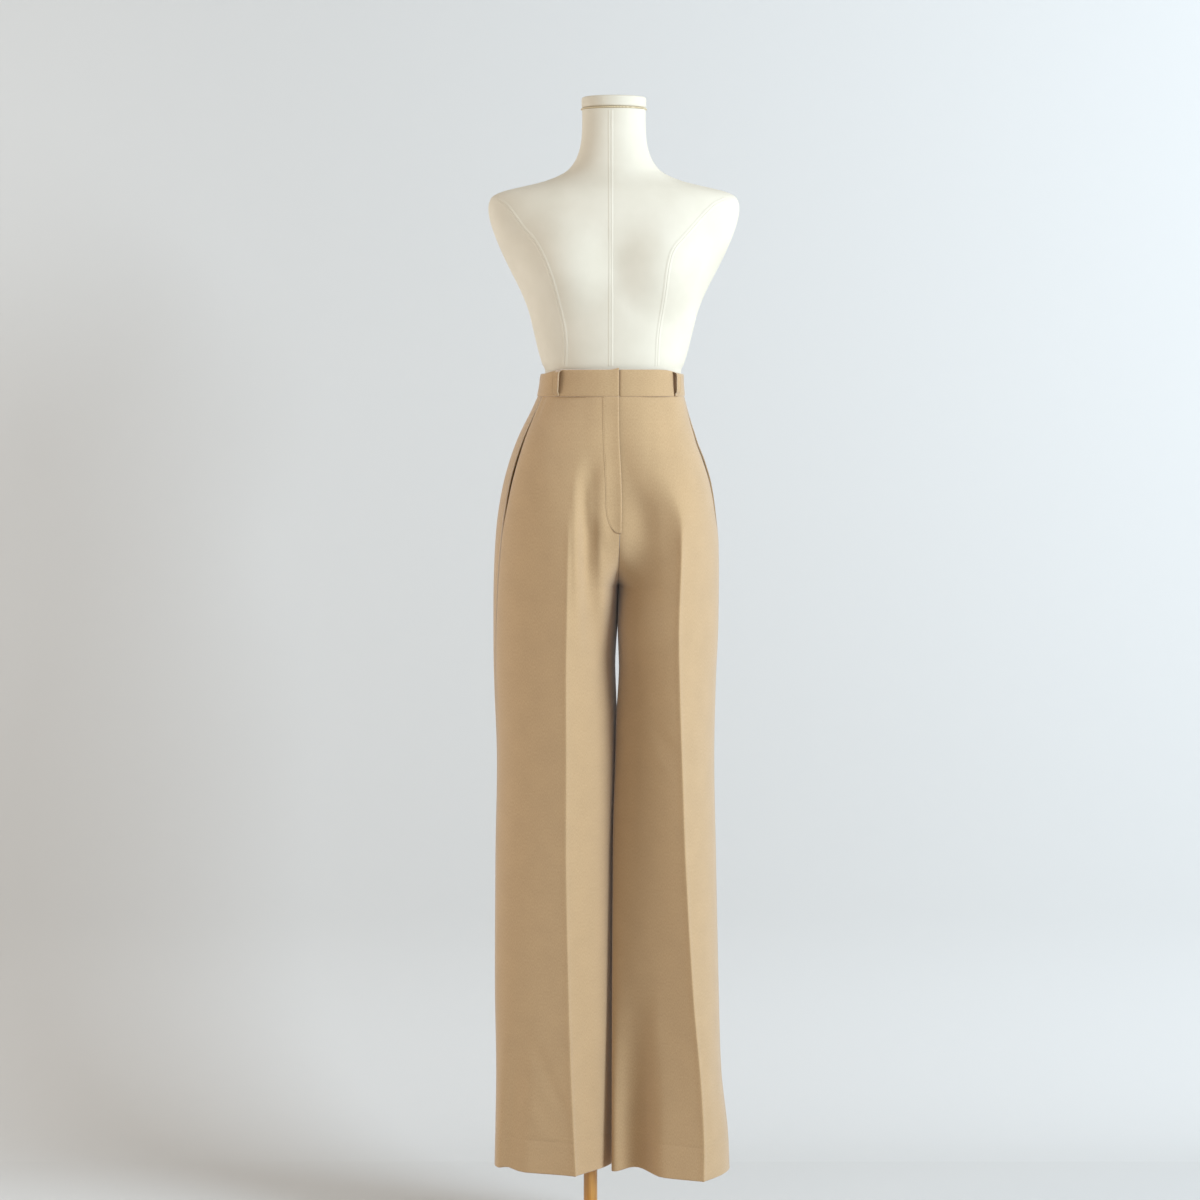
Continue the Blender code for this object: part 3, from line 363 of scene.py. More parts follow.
class Leg:
    """One leg's outline at any height."""

    def __init__(self, name, outward, sections, hem_z):
        self.name = name
        self.outward = outward
        self.sections = sections
        self.hem_z = hem_z

    def value(self, column, z):
        return along(self.sections, column, z)

    def seam_share(self, z):
        return max(self.value("seam", z), SEAM_SHARE_LEAST)

    def middle_x(self, z):
        return along(MIDDLE, "x", z) - self.outward * along(MIDDLE, "lap", z)

    def seam_place(self, z, side):
        """The centre seam above the crotch, which it reaches along the crotch curve."""
        top_z = FRONT_ARC_TOP_Z if side == "front" else BACK_ARC_TOP_Z
        rise = min((z - CROTCH_Z) / (top_z - CROTCH_Z), 1.0)
        seam_y = along(MIDDLE, side + "_y", max(z, top_z))
        return Vector((self.middle_x(z), CROTCH_Y + (seam_y - CROTCH_Y) * sin(acos(1.0 - rise))))

    def spans(self, z, side):
        """The span from the side to the crease, and the one from the crease to the middle."""
        facing = -1.0 if side == "front" else 1.0
        out = self.outward
        names = ("crease_x", "crease_y", "out_slope", "in_slope")
        if side == "back":
            names = ("back_x", "back_y", "back_out", "back_in")
        crease_x, crease_y, out_slope, in_slope = (self.value(name, z) for name in names)
        edge = Vector((self.value("side_x", z), 0.0))
        crease = Vector((crease_x, crease_y))

        def heading(x_sign, slope):
            return atan2(-sin(radians(slope)) * facing, cos(radians(slope)) * x_sign) * 180.0 / pi

        outer_span = span_between(edge, 90.0 * facing, crease, heading(out, out_slope))
        reach = abs(crease.x - self.middle_x(z)) * CREASE_HANDLE
        inseam = Vector((self.middle_x(z), along(MIDDLE, self.name + "_y", z)))
        whole_leg = span_between(crease, heading(-out, in_slope), inseam, 90.0 * facing, reach,
                                 along(MIDDLE, self.name + "_flat", z))
        if z <= CROTCH_Z:
            return outer_span, whole_leg
        seam = self.seam_place(z, side)
        level = span_between(crease, heading(-out, in_slope), seam, heading(out, 0.0), reach)
        a, b, c, d = first_part(whole_leg, share_at_depth(whole_leg, seam.y))
        joined = (a, b, c + seam - d, seam)
        top_z = FRONT_ARC_TOP_Z if side == "front" else BACK_ARC_TOP_Z
        share = smooth_step((z - CROTCH_Z) / (top_z - CROTCH_Z))
        return outer_span, tuple(p.lerp(q, share) for p, q in zip(joined, level))

    def spot(self, side, span, t):
        """A place on the outline with its outward direction."""
        place, heading = bezier(span, t)
        turn = -self.outward if side == "front" else self.outward
        return Spot(place.x, place.y, heading.y * turn, -heading.x * turn)

    def crease_spot(self, side, outer_span, inner_span):
        first = self.spot(side, outer_span, 1.0)
        second = self.spot(side, inner_span, 0.0)
        middle = Vector((first.nx + second.nx, first.ny + second.ny)).normalized()
        mitre = 1.0 / max(middle.x * first.nx + middle.y * first.ny, LEAST_MITRE_SHARE)
        return Spot(first.x, first.y, middle.x * mitre, middle.y * mitre)

    def front_row(self, z):
        """From the side seam over the crease to the centre front or the inseam."""
        outer_span, inner_span = self.spans(z, "front")
        seam = self.seam_share(z)
        row = [self.spot("front", outer_span, seam + (1.0 - seam) * eased(i, FRONT_OUTER_STEPS))
               for i in range(FRONT_OUTER_STEPS)]
        row.append(self.crease_spot("front", outer_span, inner_span))
        row += [self.spot("front", inner_span, eased(i, FRONT_INNER_STEPS))
                for i in range(1, FRONT_INNER_STEPS + 1)]
        row = softened(row, FRONT_OUTER_STEPS, along(SOFTNESS, "front", z))
        return [self.folded(spot, z, "front") for spot in row]

    def back_row(self, z):
        """From the centre back or the inseam, round the side, to the side seam."""
        outer_span, inner_span = self.spans(z, "back")
        row = [self.spot("back", inner_span, 1.0 - eased(i, BACK_INNER_STEPS))
               for i in range(BACK_INNER_STEPS)]
        row.append(self.crease_spot("back", outer_span, inner_span))
        row += [self.spot("back", outer_span, 1.0 - eased(i, BACK_OUTER_STEPS))
                for i in range(1, BACK_OUTER_STEPS + 1)]
        row = softened(row, BACK_INNER_STEPS, along(SOFTNESS, "back", z))
        front_span, _ = self.spans(z, "front")
        seam = self.seam_share(z)
        row += [self.spot("front", front_span, seam * i / BACK_WRAP_STEPS)
                for i in range(1, BACK_WRAP_STEPS + 1)]
        return [self.folded(spot, z, "back") for spot in row]

    def folded(self, spot, z, side):
        push = sum(fold_depth(fold, spot.x, z) for fold in FOLDS + SMALL_FOLDS
                   if fold.leg == self.name and fold.side == side)
        inward = push if side == "front" else -push
        return spot._replace(y=spot.y + inward)


# How softly a crease is rounded at each height: it is sharp where it is pressed and gone
# towards the waist
Softness = namedtuple("Softness", "z front back")
SOFTNESS = [Softness(1.040, 0.0006, 0.0008), Softness(1.060, 0.0020, 0.0020),
            Softness(1.085, 0.0060, 0.0060), Softness(1.115, 0.0110, 0.0120),
            Softness(1.160, 0.0170, 0.0180), Softness(1.247, 0.0200, 0.0200)]
LEAST_TURN = 0.0018
# A crease's directions turn over this many of its reaches, away from a row's ends
TURN_REACHES = 3.0
END_REACHES = 2.5
LEAST_ROOM = 0.001
LEAST_DIRECTION = 0.5
BELL_WIDTH = 1.4142


def softened(row, crease, reach):
    """The row with its crease rounded over a reach, and its directions turned gently there."""
    lengths = lengths_along(row)
    steps = [b - a for a, b in zip(lengths, lengths[1:])]
    shares = [0.0] + [(a + b) / 2 for a, b in zip(steps, steps[1:])] + [0.0]
    turn = max(reach, LEAST_TURN)
    soft_row = []
    for i, spot in enumerate(row):
        away = abs(lengths[i] - lengths[crease])
        room = min(lengths[i], lengths[-1] - lengths[i]) / END_REACHES
        if away > TURN_REACHES * turn or room < LEAST_ROOM:
            soft_row.append(spot)
            continue
        placed = averaged(row, lengths, shares, i, min(reach, room))
        turned = averaged(row, lengths, shares, i, min(turn, room))
        share = 1.0 - smooth_step((away / turn - TURN_REACHES / 2) / (TURN_REACHES / 2))
        size = max(sqrt(turned.nx**2 + turned.ny**2), LEAST_DIRECTION)
        soft_row.append(Spot(spot.x + (placed.x - spot.x) * share, spot.y + (placed.y - spot.y) * share,
                             spot.nx + (turned.nx / size - spot.nx) * share,
                             spot.ny + (turned.ny / size - spot.ny) * share))
    return soft_row


def averaged(row, lengths, shares, i, reach):
    """The average of the spots near one, weighed by how near they are."""
    total = 0.0
    sums = [0.0, 0.0, 0.0, 0.0]
    for spot, length, share in zip(row, lengths, shares):
        weight = share * hump(length - lengths[i], reach * BELL_WIDTH)
        if weight > 0.0:
            total += weight
            sums = [value + weight * part for value, part in zip(sums, spot)]
    return Spot(*(value / total for value in sums))


def fold_depth(fold, x, z):
    """How deep a fold is at a place on its panel."""
    z0, z1, z2 = fold.z_top, fold.z_mid, fold.z_end
    if not z2 < z < z0:
        return 0.0
    path = (fold.x_top * (z - z1) * (z - z2) / ((z0 - z1) * (z0 - z2))
            + fold.x_mid * (z - z0) * (z - z2) / ((z1 - z0) * (z1 - z2))
            + fold.x_end * (z - z0) * (z - z1) / ((z2 - z0) * (z2 - z1)))
    across = (x - path) / fold.width
    if abs(across) >= 1.0:
        return 0.0
    fade = smooth_step((z0 - z) / fold.above) * smooth_step((z - z2) / fold.below)
    return fold.depth * fade * (1.0 - across * across) ** 2


RIGHT_LEG = Leg("right", -1.0, RIGHT_SECTIONS, RIGHT_HEM_Z)
LEFT_LEG = Leg("left", 1.0, LEFT_SECTIONS, LEFT_HEM_Z)


def pulled_in(row, first_gap, last_gap):
    """The row with its ends drawn back along the cloth, to part it from its neighbours."""
    def shortened(end, neighbour, gap):
        step = Vector((neighbour.x - end.x, neighbour.y - end.y)).normalized() * gap
        return end._replace(x=end.x + step.x, y=end.y + step.y)

    return ([shortened(row[0], row[1], first_gap)] + row[1:-1]
            + [shortened(row[-1], row[-2], last_gap)])


def moved(row, distance):
    """The row moved outwards along its own directions."""
    return [spot._replace(x=spot.x + spot.nx * distance, y=spot.y + spot.ny * distance)
            for spot in row]


def lengths_along(row):
    """How far each place lies from the row's start, along the row."""
    lengths = [0.0]
    for a, b in zip(row, row[1:]):
        lengths.append(lengths[-1] + sqrt((b.x - a.x) ** 2 + (b.y - a.y) ** 2))
    return lengths


def row_length(row):
    return lengths_along(row)[-1]


def spot_at(row, lengths, target):
    """The place at a length along a row."""
    target = min(max(target, 0.0), lengths[-1])
    i = next((k for k in range(1, len(row)) if lengths[k] >= target), len(row) - 1)
    t = (target - lengths[i - 1]) / max(lengths[i] - lengths[i - 1], 1e-9)
    return Spot(*(a + (b - a) * t for a, b in zip(row[i - 1], row[i])))


def stretch_of(row, start, end, steps):
    """Places at even steps along a row, from a start to an end length along it."""
    lengths = lengths_along(row)
    return [spot_at(row, lengths, start + (end - start) * i / steps) for i in range(steps + 1)]


# Relief of the cloth
HEM_ROUND = 0.0011
CREASE_REACH = 0.0040
CREASE_FADE_FROM_Z = 1.040
CREASE_FADE_TO_Z = 1.150
SEAM_REACH = 0.0030
TURN_UP_REACH = 0.0025
TURN_UP_DIP_SHARE = 0.6
TURN_UP_STEP = 0.003
WAIST_REACH = 0.0060
INSEAM_DIP_SHARE = 0.10
INSEAM_PRESS_SHARE = -0.60
INSEAM_PRESS_LOW_Z = 0.930
INSEAM_PRESS_FADE = 0.020
INSEAM_MEET_SHARE = -0.30
INSEAM_MEET_TOP_Z = 1.012
INSEAM_MEET_FADE = 0.030
MOUTH_REACH = 0.0085
MOUTH_OPEN_SHARE = 0.35
MOUTH_SINK_SHARE = 0.62
MOUTH_RISE_SHARE = 0.30
TUCK_LOW_Z = 1.219
TUCK_HIGH_Z = 1.247
TUCK_LOW_X = -0.1115
TUCK_HIGH_X = -0.1012
TUCK_DEPTH = 0.0012
TUCK_REACH = 0.0016
TUCK_FADE = 0.006

# The soft swells of the cloth: how fast they change across and down, and where each
# panel's pattern starts
BROAD_SWELL = (13.0, 5.5)
FINE_SWELL = (42.0, 15.0)
FINE_SWELL_SHARE = 0.35
FINE_SEED_STEP = 7.0
SWELL_END_FADE = 0.020
SWELL_SEEDS = {("right", "front"): -8.0, ("right", "back"): 18.0,
               ("left", "front"): 14.0, ("left", "back"): 40.0}

# Rows that lie closer together than the others
EDGE_STEPS = (0.0008, 0.0018, 0.0032)
TURN_UP_ROWS = (-0.003, -0.0015, 0.0, 0.0015, 0.003)
CROTCH_ROWS = 5
CROTCH_ROW_STEP = 0.0004
LEAST_ROW_GAP = 0.0005

# Where a fold draws the hem up
HemLift = namedtuple("HemLift", "leg side x width lift")
HEM_LIFTS = [HemLift("left", "front", 0.034, 0.024, 0.0060),
             HemLift("right", "front", -0.156, 0.010, 0.0035),
             HemLift("right", "back", -0.050, 0.030, 0.0030),
             HemLift("left", "back", 0.120, 0.030, 0.0040)]
HEM_LIFT_REACH = 0.110


def pocket_gape(z):
    """0 away from the pocket mouth, 1 at its middle."""
    share = (z - POCKET_BOTTOM_Z) / (POCKET_TOP_Z - POCKET_BOTTOM_Z)
    return sin(pi * share) if 0.0 < share < 1.0 else 0.0


def unevenness(u, z, seed):
    """Soft swells of pressed cloth, longer down the leg than across it."""
    broad = noise.noise(Vector((u * BROAD_SWELL[0], z * BROAD_SWELL[1], seed)))
    fine = noise.noise(Vector((u * FINE_SWELL[0], z * FINE_SWELL[1], seed + FINE_SEED_STEP)))
    return broad + FINE_SWELL_SHARE * fine


def cloth_relief(looks, leg, side, z, lengths, crease, seams=(1.0, 1.0)):
    """How far each place of a panel's row stands off its plain outline. seams is how much
    the row dips at its two ends."""
    whole = lengths[-1]
    pressed = 1.0 - smooth_step((z - CREASE_FADE_FROM_Z) / (CREASE_FADE_TO_Z - CREASE_FADE_FROM_Z))
    turn_up = hump(z - leg.hem_z - TURN_UP, TURN_UP_REACH)
    waist = hump(WAIST_SEAM_Z - z, WAIST_REACH)
    seed = SWELL_SEEDS[leg.name, side]
    relief = []
    for length in lengths:
        from_crease = length - lengths[crease]
        rise = looks.crease_rise * pressed * hump(from_crease, CREASE_REACH)
        dip = looks.seam_dip * (seams[0] * hump(length, SEAM_REACH)
                                + seams[1] * hump(whole - length, SEAM_REACH))
        dip += looks.seam_dip * TURN_UP_DIP_SHARE * turn_up + looks.seam_dip * waist
        near_end = smooth_step(min(length, whole - length) / SWELL_END_FADE)
        swell = looks.unevenness * unevenness(from_crease, z, seed) * near_end
        relief.append(rise - dip + swell * (1.0 - waist))
    return relief


def hem_lift(leg, side, x, z):
    """How far a fold draws the hem up."""
    lift = sum(row.lift * hump(x - row.x, row.width) for row in HEM_LIFTS
               if row.leg == leg.name and row.side == side)
    return lift * (1.0 - smooth_step((z - leg.hem_z) / HEM_LIFT_REACH))


def tuck_depth(x, z):
    """The short stitched line between the waistband and the top of the right pocket."""
    if z < TUCK_LOW_Z:
        return 0.0
    path = TUCK_LOW_X + (TUCK_HIGH_X - TUCK_LOW_X) * (z - TUCK_LOW_Z) / (TUCK_HIGH_Z - TUCK_LOW_Z)
    return TUCK_DEPTH * hump(x - path, TUCK_REACH) * smooth_step((z - TUCK_LOW_Z) / TUCK_FADE)


def cloth_heights(leg):
    """Row heights, closer together at the hem, turn-up, crotch and waist seam."""
    top = WAIST_SEAM_Z - SEAM_GAP
    count = int((top - leg.hem_z) / ROW_GAP)
    heights = [leg.hem_z + (top - leg.hem_z) * i / count for i in range(count + 1)]
    turn_up_z = leg.hem_z + TURN_UP
    heights += [leg.hem_z + step for step in EDGE_STEPS]
    heights += [turn_up_z + step for step in TURN_UP_ROWS]
    heights += [CROTCH_Z + CROTCH_ROW_STEP * i * i for i in range(CROTCH_ROWS)]
    heights += [top - step for step in EDGE_STEPS]
    kept = []
    for z in sorted(heights):
        if not kept or z - kept[-1] > LEAST_ROW_GAP:
            kept.append(z)
    kept[-1] = top
    return kept


def cloth_thickness(leg, z):
    """Two layers in the turned-up hem and one above it."""
    return CLOTH * (2.0 - smooth_step((z - leg.hem_z - TURN_UP) / TURN_UP_STEP))


def inseam_dip(z):
    """How much a panel's inner end sinks. Near the crotch the legs press together."""
    if z > CROTCH_Z:
        apart = smooth_step((z - INSEAM_MEET_TOP_Z) / INSEAM_MEET_FADE)
        return INSEAM_MEET_SHARE + (1.0 - INSEAM_MEET_SHARE) * apart
    pressed = smooth_step((z - INSEAM_PRESS_LOW_Z) / INSEAM_PRESS_FADE)
    return INSEAM_DIP_SHARE + (INSEAM_PRESS_SHARE - INSEAM_DIP_SHARE) * pressed


def panel_cells(looks, leg, side):
    """A panel's wall as rows of cells from the hem up, and its flat area."""
    rows = []
    area = 0.0
    heights = cloth_heights(leg)
    for i, z in enumerate(heights):
        row = leg.front_row(z) if side == "front" else leg.back_row(z)
        crease = FRONT_OUTER_STEPS if side == "front" else BACK_INNER_STEPS
        lengths = lengths_along(row)
        inner_seam = inseam_dip(z)
        seams = (1.0, inner_seam) if side == "front" else (inner_seam, 1.0)
        relief = cloth_relief(looks, leg, side, z, lengths, crease, seams)
        gape = looks.pocket_gape * pocket_gape(z)
        if side == "front":
            relief = [r - gape * MOUTH_SINK_SHARE * hump(length, MOUTH_REACH)
                      for r, length in zip(relief, lengths)]
        else:
            relief = [r + gape * MOUTH_RISE_SHARE * hump(lengths[-1] - length, MOUTH_REACH)
                      for r, length in zip(relief, lengths)]
        if (leg.name, side) == ("right", "front"):
            relief = [r - tuck_depth(spot.x, z) for r, spot in zip(relief, row)]
        mouth = gape * MOUTH_OPEN_SHARE if side == "front" else 0.0
        row = pulled_in(row, SEAM_GAP / 2 + mouth, SEAM_GAP / 2)
        thickness = cloth_thickness(leg, z)
        cells = []
        for spot, rise, length in zip(row, relief, lengths):
            outward = Vector((spot.nx, spot.ny, 0.0))
            place = Vector((spot.x, spot.y, z + hem_lift(leg, side, spot.x, z)))
            cells.append(Cell(place + outward * rise, place + outward * (rise - thickness),
                              (length - lengths[crease], z)))
        rows.append(cells)
        low = heights[max(i - 1, 0)]
        high = heights[min(i + 1, len(heights) - 1)]
        area += lengths[-1] * (high - low) / 2
    return rows, area


def new_object(name, vertices, faces, flats, material):
    """A smooth mesh with its flat cloth places as a UV map."""
    mesh = bpy.data.meshes.new(name)
    mesh.from_pydata(vertices, [], faces)
    layer = mesh.uv_layers.new(name="Flat Cloth")
    for loop in mesh.loops:
        layer.data[loop.index].uv = flats[loop.vertex_index]
    mesh.materials.append(material)
    mesh.shade_smooth()
    piece = bpy.data.objects.new(name, mesh)
    bpy.context.scene.collection.objects.link(piece)
    return piece


def wall(name, rows, material, rim=HEM_ROUND):
    """A closed wall of cloth with rounded edges through rows of cells, lowest row first."""
    count = len(rows[0])
    vertices = []
    flats = []

    def add(place, flat):
        vertices.append(place)
        flats.append(flat)
        return len(vertices) - 1

    def add_edge(cell, away):
        middle = (cell.outer + cell.inner) / 2
        size = min((cell.outer - cell.inner).length * 0.5, rim)
        return add(middle + away.normalized() * size, cell.flat)

    outer = [[add(cell.outer, cell.flat) for cell in row] for row in rows]
    inner = [[add(cell.inner, cell.flat) for cell in row] for row in rows]
    bottom = [add_edge(a, a.outer - b.outer) for a, b in zip(rows[0], rows[1])]
    top = [add_edge(a, a.outer - b.outer) for a, b in zip(rows[-1], rows[-2])]
    start = [add_edge(row[0], row[0].outer - row[1].outer) for row in rows]
    end = [add_edge(row[-1], row[-1].outer - row[-2].outer) for row in rows]

    faces = []
    loops = outer + [top] + inner[::-1] + [bottom]
    for low, high in zip(loops, loops[1:] + loops[:1]):
        faces += [(low[i], low[i + 1], high[i + 1], high[i]) for i in range(count - 1)]
    for column, edge, turn in ((0, start, 1), (count - 1, end, -1)):
        side_faces = []
        for r in range(len(rows) - 1):
            side_faces.append((outer[r + 1][column], edge[r + 1], edge[r], outer[r][column]))
            side_faces.append((edge[r + 1], inner[r + 1][column], inner[r][column], edge[r]))
        side_faces.append((outer[0][column], edge[0], bottom[column]))
        side_faces.append((edge[0], inner[0][column], bottom[column]))
        side_faces.append((outer[-1][column], top[column], edge[-1]))
        side_faces.append((edge[-1], top[column], inner[-1][column]))
        faces += [face[::-1] if turn > 0 else face for face in side_faces]

    a, b, c = (vertices[i] for i in (outer[0][0], outer[0][1], outer[1][1]))
    if (b - a).cross(c - b).dot(rows[0][0].outer - rows[0][0].inner) < 0.0:
        faces = [face[::-1] for face in faces]
    return new_object(name, vertices, faces, flats, material)


def build_panels(looks, side):
    wool = wool_material()
    panels = []
    for leg in (RIGHT_LEG, LEFT_LEG):
        rows, area = panel_cells(looks, leg, side)
        name = side + "_" + leg.name
        panel = wall(name + "_cloth", rows, wool)
        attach(panel, "root")
        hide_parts(name)
        panels.append(panel)
    return panels


# The fly lap: a folded edge that runs past the centre front, and the stitched J outside it
LAP_STEPS = 26
LAP_PAST_CENTER = 0.0022
LAP_STAND_OFF = 0.0026
LAP_FOLD_ROUND = 0.0038
LAP_EDGE_STAND_OFF = 0.0004
LAP_FOOT_STAND_OFF = 0.0014
LAP_UNDERSIDE = 0.0003
LAP_ROW_GAP = 0.0025
LAP_FOOT_CLEARANCE = 0.0004
LAP_FOOT_ROWS = 18
LAP_FOOT_FADE = 0.014
LAP_FOLD_LEAST = 0.25
LAP_LEAST_WIDTH = 0.0012
LAP_RIM = 0.0004


def fly_width(z):
    drop = min(max((FLY_BOTTOM_Z + FLY_ROUND - z) / FLY_ROUND, 0.0), 1.0)
    return FLY_WIDTH * sqrt(1.0 - drop * drop)


def lap_base(looks, z):
    """The right front's outer skin, run on past the centre front, where the lap lies on it."""
    row = RIGHT_LEG.front_row(z)
    lengths = lengths_along(row)
    relief = cloth_relief(looks, RIGHT_LEG, "front", z, lengths, FRONT_OUTER_STEPS, (1.0, 0.0))
    skin = [moved([spot], rise)[0] for spot, rise in zip(row, relief)]
    end, before = skin[-1], skin[-4]
    run = Vector((end.x - before.x, end.y - before.y)).normalized() * LAP_PAST_CENTER
    return skin + [end._replace(x=end.x + run.x, y=end.y + run.y)]


def fly_heights():
    bottom = FLY_BOTTOM_Z + LAP_FOOT_CLEARANCE
    top = WAIST_SEAM_Z - SEAM_GAP
    curved = [bottom + FLY_ROUND * (1.0 - cos(pi / 2 * i / LAP_FOOT_ROWS))
              for i in range(LAP_FOOT_ROWS)]
    straight_from = bottom + FLY_ROUND
    count = int((top - straight_from) / LAP_ROW_GAP)
    return curved + [straight_from + (top - straight_from) * i / count for i in range(count + 1)]


def lap_face(z, from_edge, from_fold):
    """How far the lap's face stands off, rising from its stitched edge to its round fold."""
    foot = 1.0 - smooth_step((z - FLY_BOTTOM_Z) / LAP_FOOT_FADE)
    edge = LAP_EDGE_STAND_OFF + (LAP_FOOT_STAND_OFF - LAP_EDGE_STAND_OFF) * foot
    across = from_edge / max(from_edge + from_fold, 1e-6)
    face = edge + (LAP_STAND_OFF - edge) * across * across
    round_share = min(from_fold / LAP_FOLD_ROUND, 1.0)
    turned = sqrt(1.0 - (1.0 - round_share) ** 2)
    folded = LAP_FOLD_LEAST + (1.0 - LAP_FOLD_LEAST) * turned
    return LAP_UNDERSIDE + (face - LAP_UNDERSIDE) * folded


def build_fly(looks):
    wool = wool_material()
    rows = []
    for z in fly_heights():
        base = lap_base(looks, z)
        lengths = lengths_along(base)
        width = max(fly_width(z), LAP_LEAST_WIDTH) + LAP_PAST_CENTER
        cells = []
        for i in range(LAP_STEPS + 1):
            share = eased(i, LAP_STEPS)
            spot = spot_at(base, lengths, lengths[-1] - width * (1.0 - share))
            outward = Vector((spot.nx, spot.ny, 0.0))
            place = Vector((spot.x, spot.y, z))
            face = lap_face(z, width * share, width * (1.0 - share))
            cells.append(Cell(place + outward * face, place + outward * LAP_UNDERSIDE,
                              (lengths[-1] - width * (1.0 - share), z)))
        rows.append(cells)
    lap = wall("fly_lap_cloth", rows, wool, rim=LAP_RIM)
    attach(lap, "root")
    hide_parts("fly_lap")
    width = FLY_WIDTH + LAP_PAST_CENTER
    vertices, faces = stitch_line(fly_stitch_path(looks))
    stitching("fly_stitching", vertices, faces, thread_material())
    return lap


# Stitches: short raised dashes, along the J of the fly and across the ends of the loops
STITCH_LENGTH = 0.0020
STITCH_PITCH = 0.0029
STITCH_WIDTH = 0.00050
STITCH_RISE = 0.00022
STITCH_INSET = 0.0016
STITCH_SHOULDER = 0.6
STITCH_CREST = 0.5
STITCH_LEAST_WIDTH = 0.001
STITCH_LIFT = 0.00005
LOOP_STITCHES = 4


def add_stitch(vertices, faces, place, ahead, outward):
    """One stitch: a low ridge with pointed ends that dip into the cloth."""
    across = ahead.cross(outward).normalized() * (STITCH_WIDTH / 2)
    half = ahead.normalized() * (STITCH_LENGTH / 2)
    top = outward.normalized() * STITCH_RISE
    first = len(vertices)
    shoulder = half * STITCH_SHOULDER
    crest = half * STITCH_CREST
    vertices += [place - half, place + half, place - shoulder + across, place + shoulder + across,
                 place - shoulder - across, place + shoulder - across,
                 place - crest + top, place + crest + top]
    corners = ((0, 2, 6), (0, 6, 4), (1, 7, 3), (1, 5, 7), (2, 3, 7, 6), (4, 6, 7, 5), (0, 4, 2),
               (1, 3, 5), (2, 4, 5, 3))
    faces += [tuple(first + i for i in corner) for corner in corners]


def stitch_line(path):
    """Evenly spaced stitches along a path of (place, outward)."""
    vertices = []
    faces = []
    travelled = 0.0
    due = STITCH_PITCH / 2
    for (a, outward), (b, _) in zip(path, path[1:]):
        step = (b - a).length
        while due <= travelled + step and step > 0.0:
            place = a.lerp(b, (due - travelled) / step)
            add_stitch(vertices, faces, place, b - a, outward)
            due += STITCH_PITCH
        travelled += step
    return vertices, faces


def stitching(name, vertices, faces, material):
    flats = [(v.x, v.z) for v in vertices]
    thread = new_object(name, vertices, faces, flats, material)
    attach(thread, "root")
    return thread


def fly_stitch_path(looks):
    """Just inside the lap's stitched edge, down and round its foot."""
    path = []
    for z in reversed(fly_heights()):
        base = lap_base(looks, z)
        lengths = lengths_along(base)
        width = fly_width(z) - STITCH_INSET
        if width < STITCH_LEAST_WIDTH:
            continue
        spot = spot_at(base, lengths, lengths[-1] - LAP_PAST_CENTER - width)
        across = STITCH_INSET / (fly_width(z) + LAP_PAST_CENTER)
        whole = fly_width(z) + LAP_PAST_CENTER
        face = lap_face(z, whole * across, whole * (1.0 - across))
        outward = Vector((spot.nx, spot.ny, 0.0))
        path.append((Vector((spot.x, spot.y, z)) + outward * face, outward))
    return path


# Height share of the waistband, and how far its face stands proud of the panels
BandLevel = namedtuple("BandLevel", "share face")
BAND_LEVELS = [BandLevel(0.0, 0.0000), BandLevel(0.015, 0.0004), BandLevel(0.04, 0.0008),
               BandLevel(0.10, 0.0011), BandLevel(0.22, 0.0012), BandLevel(0.36, 0.0011),
               BandLevel(0.50, 0.0010), BandLevel(0.64, 0.0010), BandLevel(0.78, 0.0011),
               BandLevel(0.90, 0.0010), BandLevel(0.96, 0.0008), BandLevel(0.985, 0.0005),
               BandLevel(1.0, 0.0000)]
BAND_INSIDE = -0.0012
UNDERLAP_SINK = 0.0026
UNDERLAP_EASE = (0.6, 0.2)
UNDERLAP_STEPS = 6
PAST_CENTER_STEPS = 6
BAND_SWELL_SHARE = 0.5
BAND_SEED = 51.0
BAND_END_RISE = 0.0008
BAND_END_REACH = 0.010
BAND_END_LEAST = 0.3
BAND_CORNER_REACH = 0.007
BAND_END_ROUND = 0.0030
BAND_CORNER_LIFT = 0.0022
BAND_SIDE_DROP = 0.0062
BAND_SIDE_REACH = 0.0170


def band_half(leg, z, first, last):
    """The band's line on one side, from the centre front round to the centre back."""
    steps = BAND_STEPS
    outer, inner = leg.spans(z, "front")
    back_outer, back_inner = leg.spans(z, "back")
    row = [leg.spot("front", inner, 1.0 - i / steps) for i in range(steps)]
    row += [leg.spot("front", outer, 1.0 - i / steps) for i in range(steps)]
    row += [leg.spot("back", back_outer, i / steps) for i in range(steps)]
    row += [leg.spot("back", back_inner, i / steps) for i in range(steps + 1)]
    return pulled_in(row, first, last)


def side_drop(x, side_x, share):
    """How far the band sits lower at its sides, most at its top edge."""
    return BAND_SIDE_DROP * hump(x - side_x, BAND_SIDE_REACH) * share**3


def past_center(row):
    """The right half's line, run on past the centre front in small steps."""
    start, ahead = row[0], row[1]
    step = Vector((start.x - ahead.x, start.y - ahead.y)).normalized()
    reaches = [LAP_PAST_CENTER * (1.0 - eased(i, PAST_CENTER_STEPS))
               for i in range(PAST_CENTER_STEPS)]
    run_on = [start._replace(x=start.x + step.x * reach, y=start.y + step.y * reach)
              for reach in reaches]
    return run_on + row


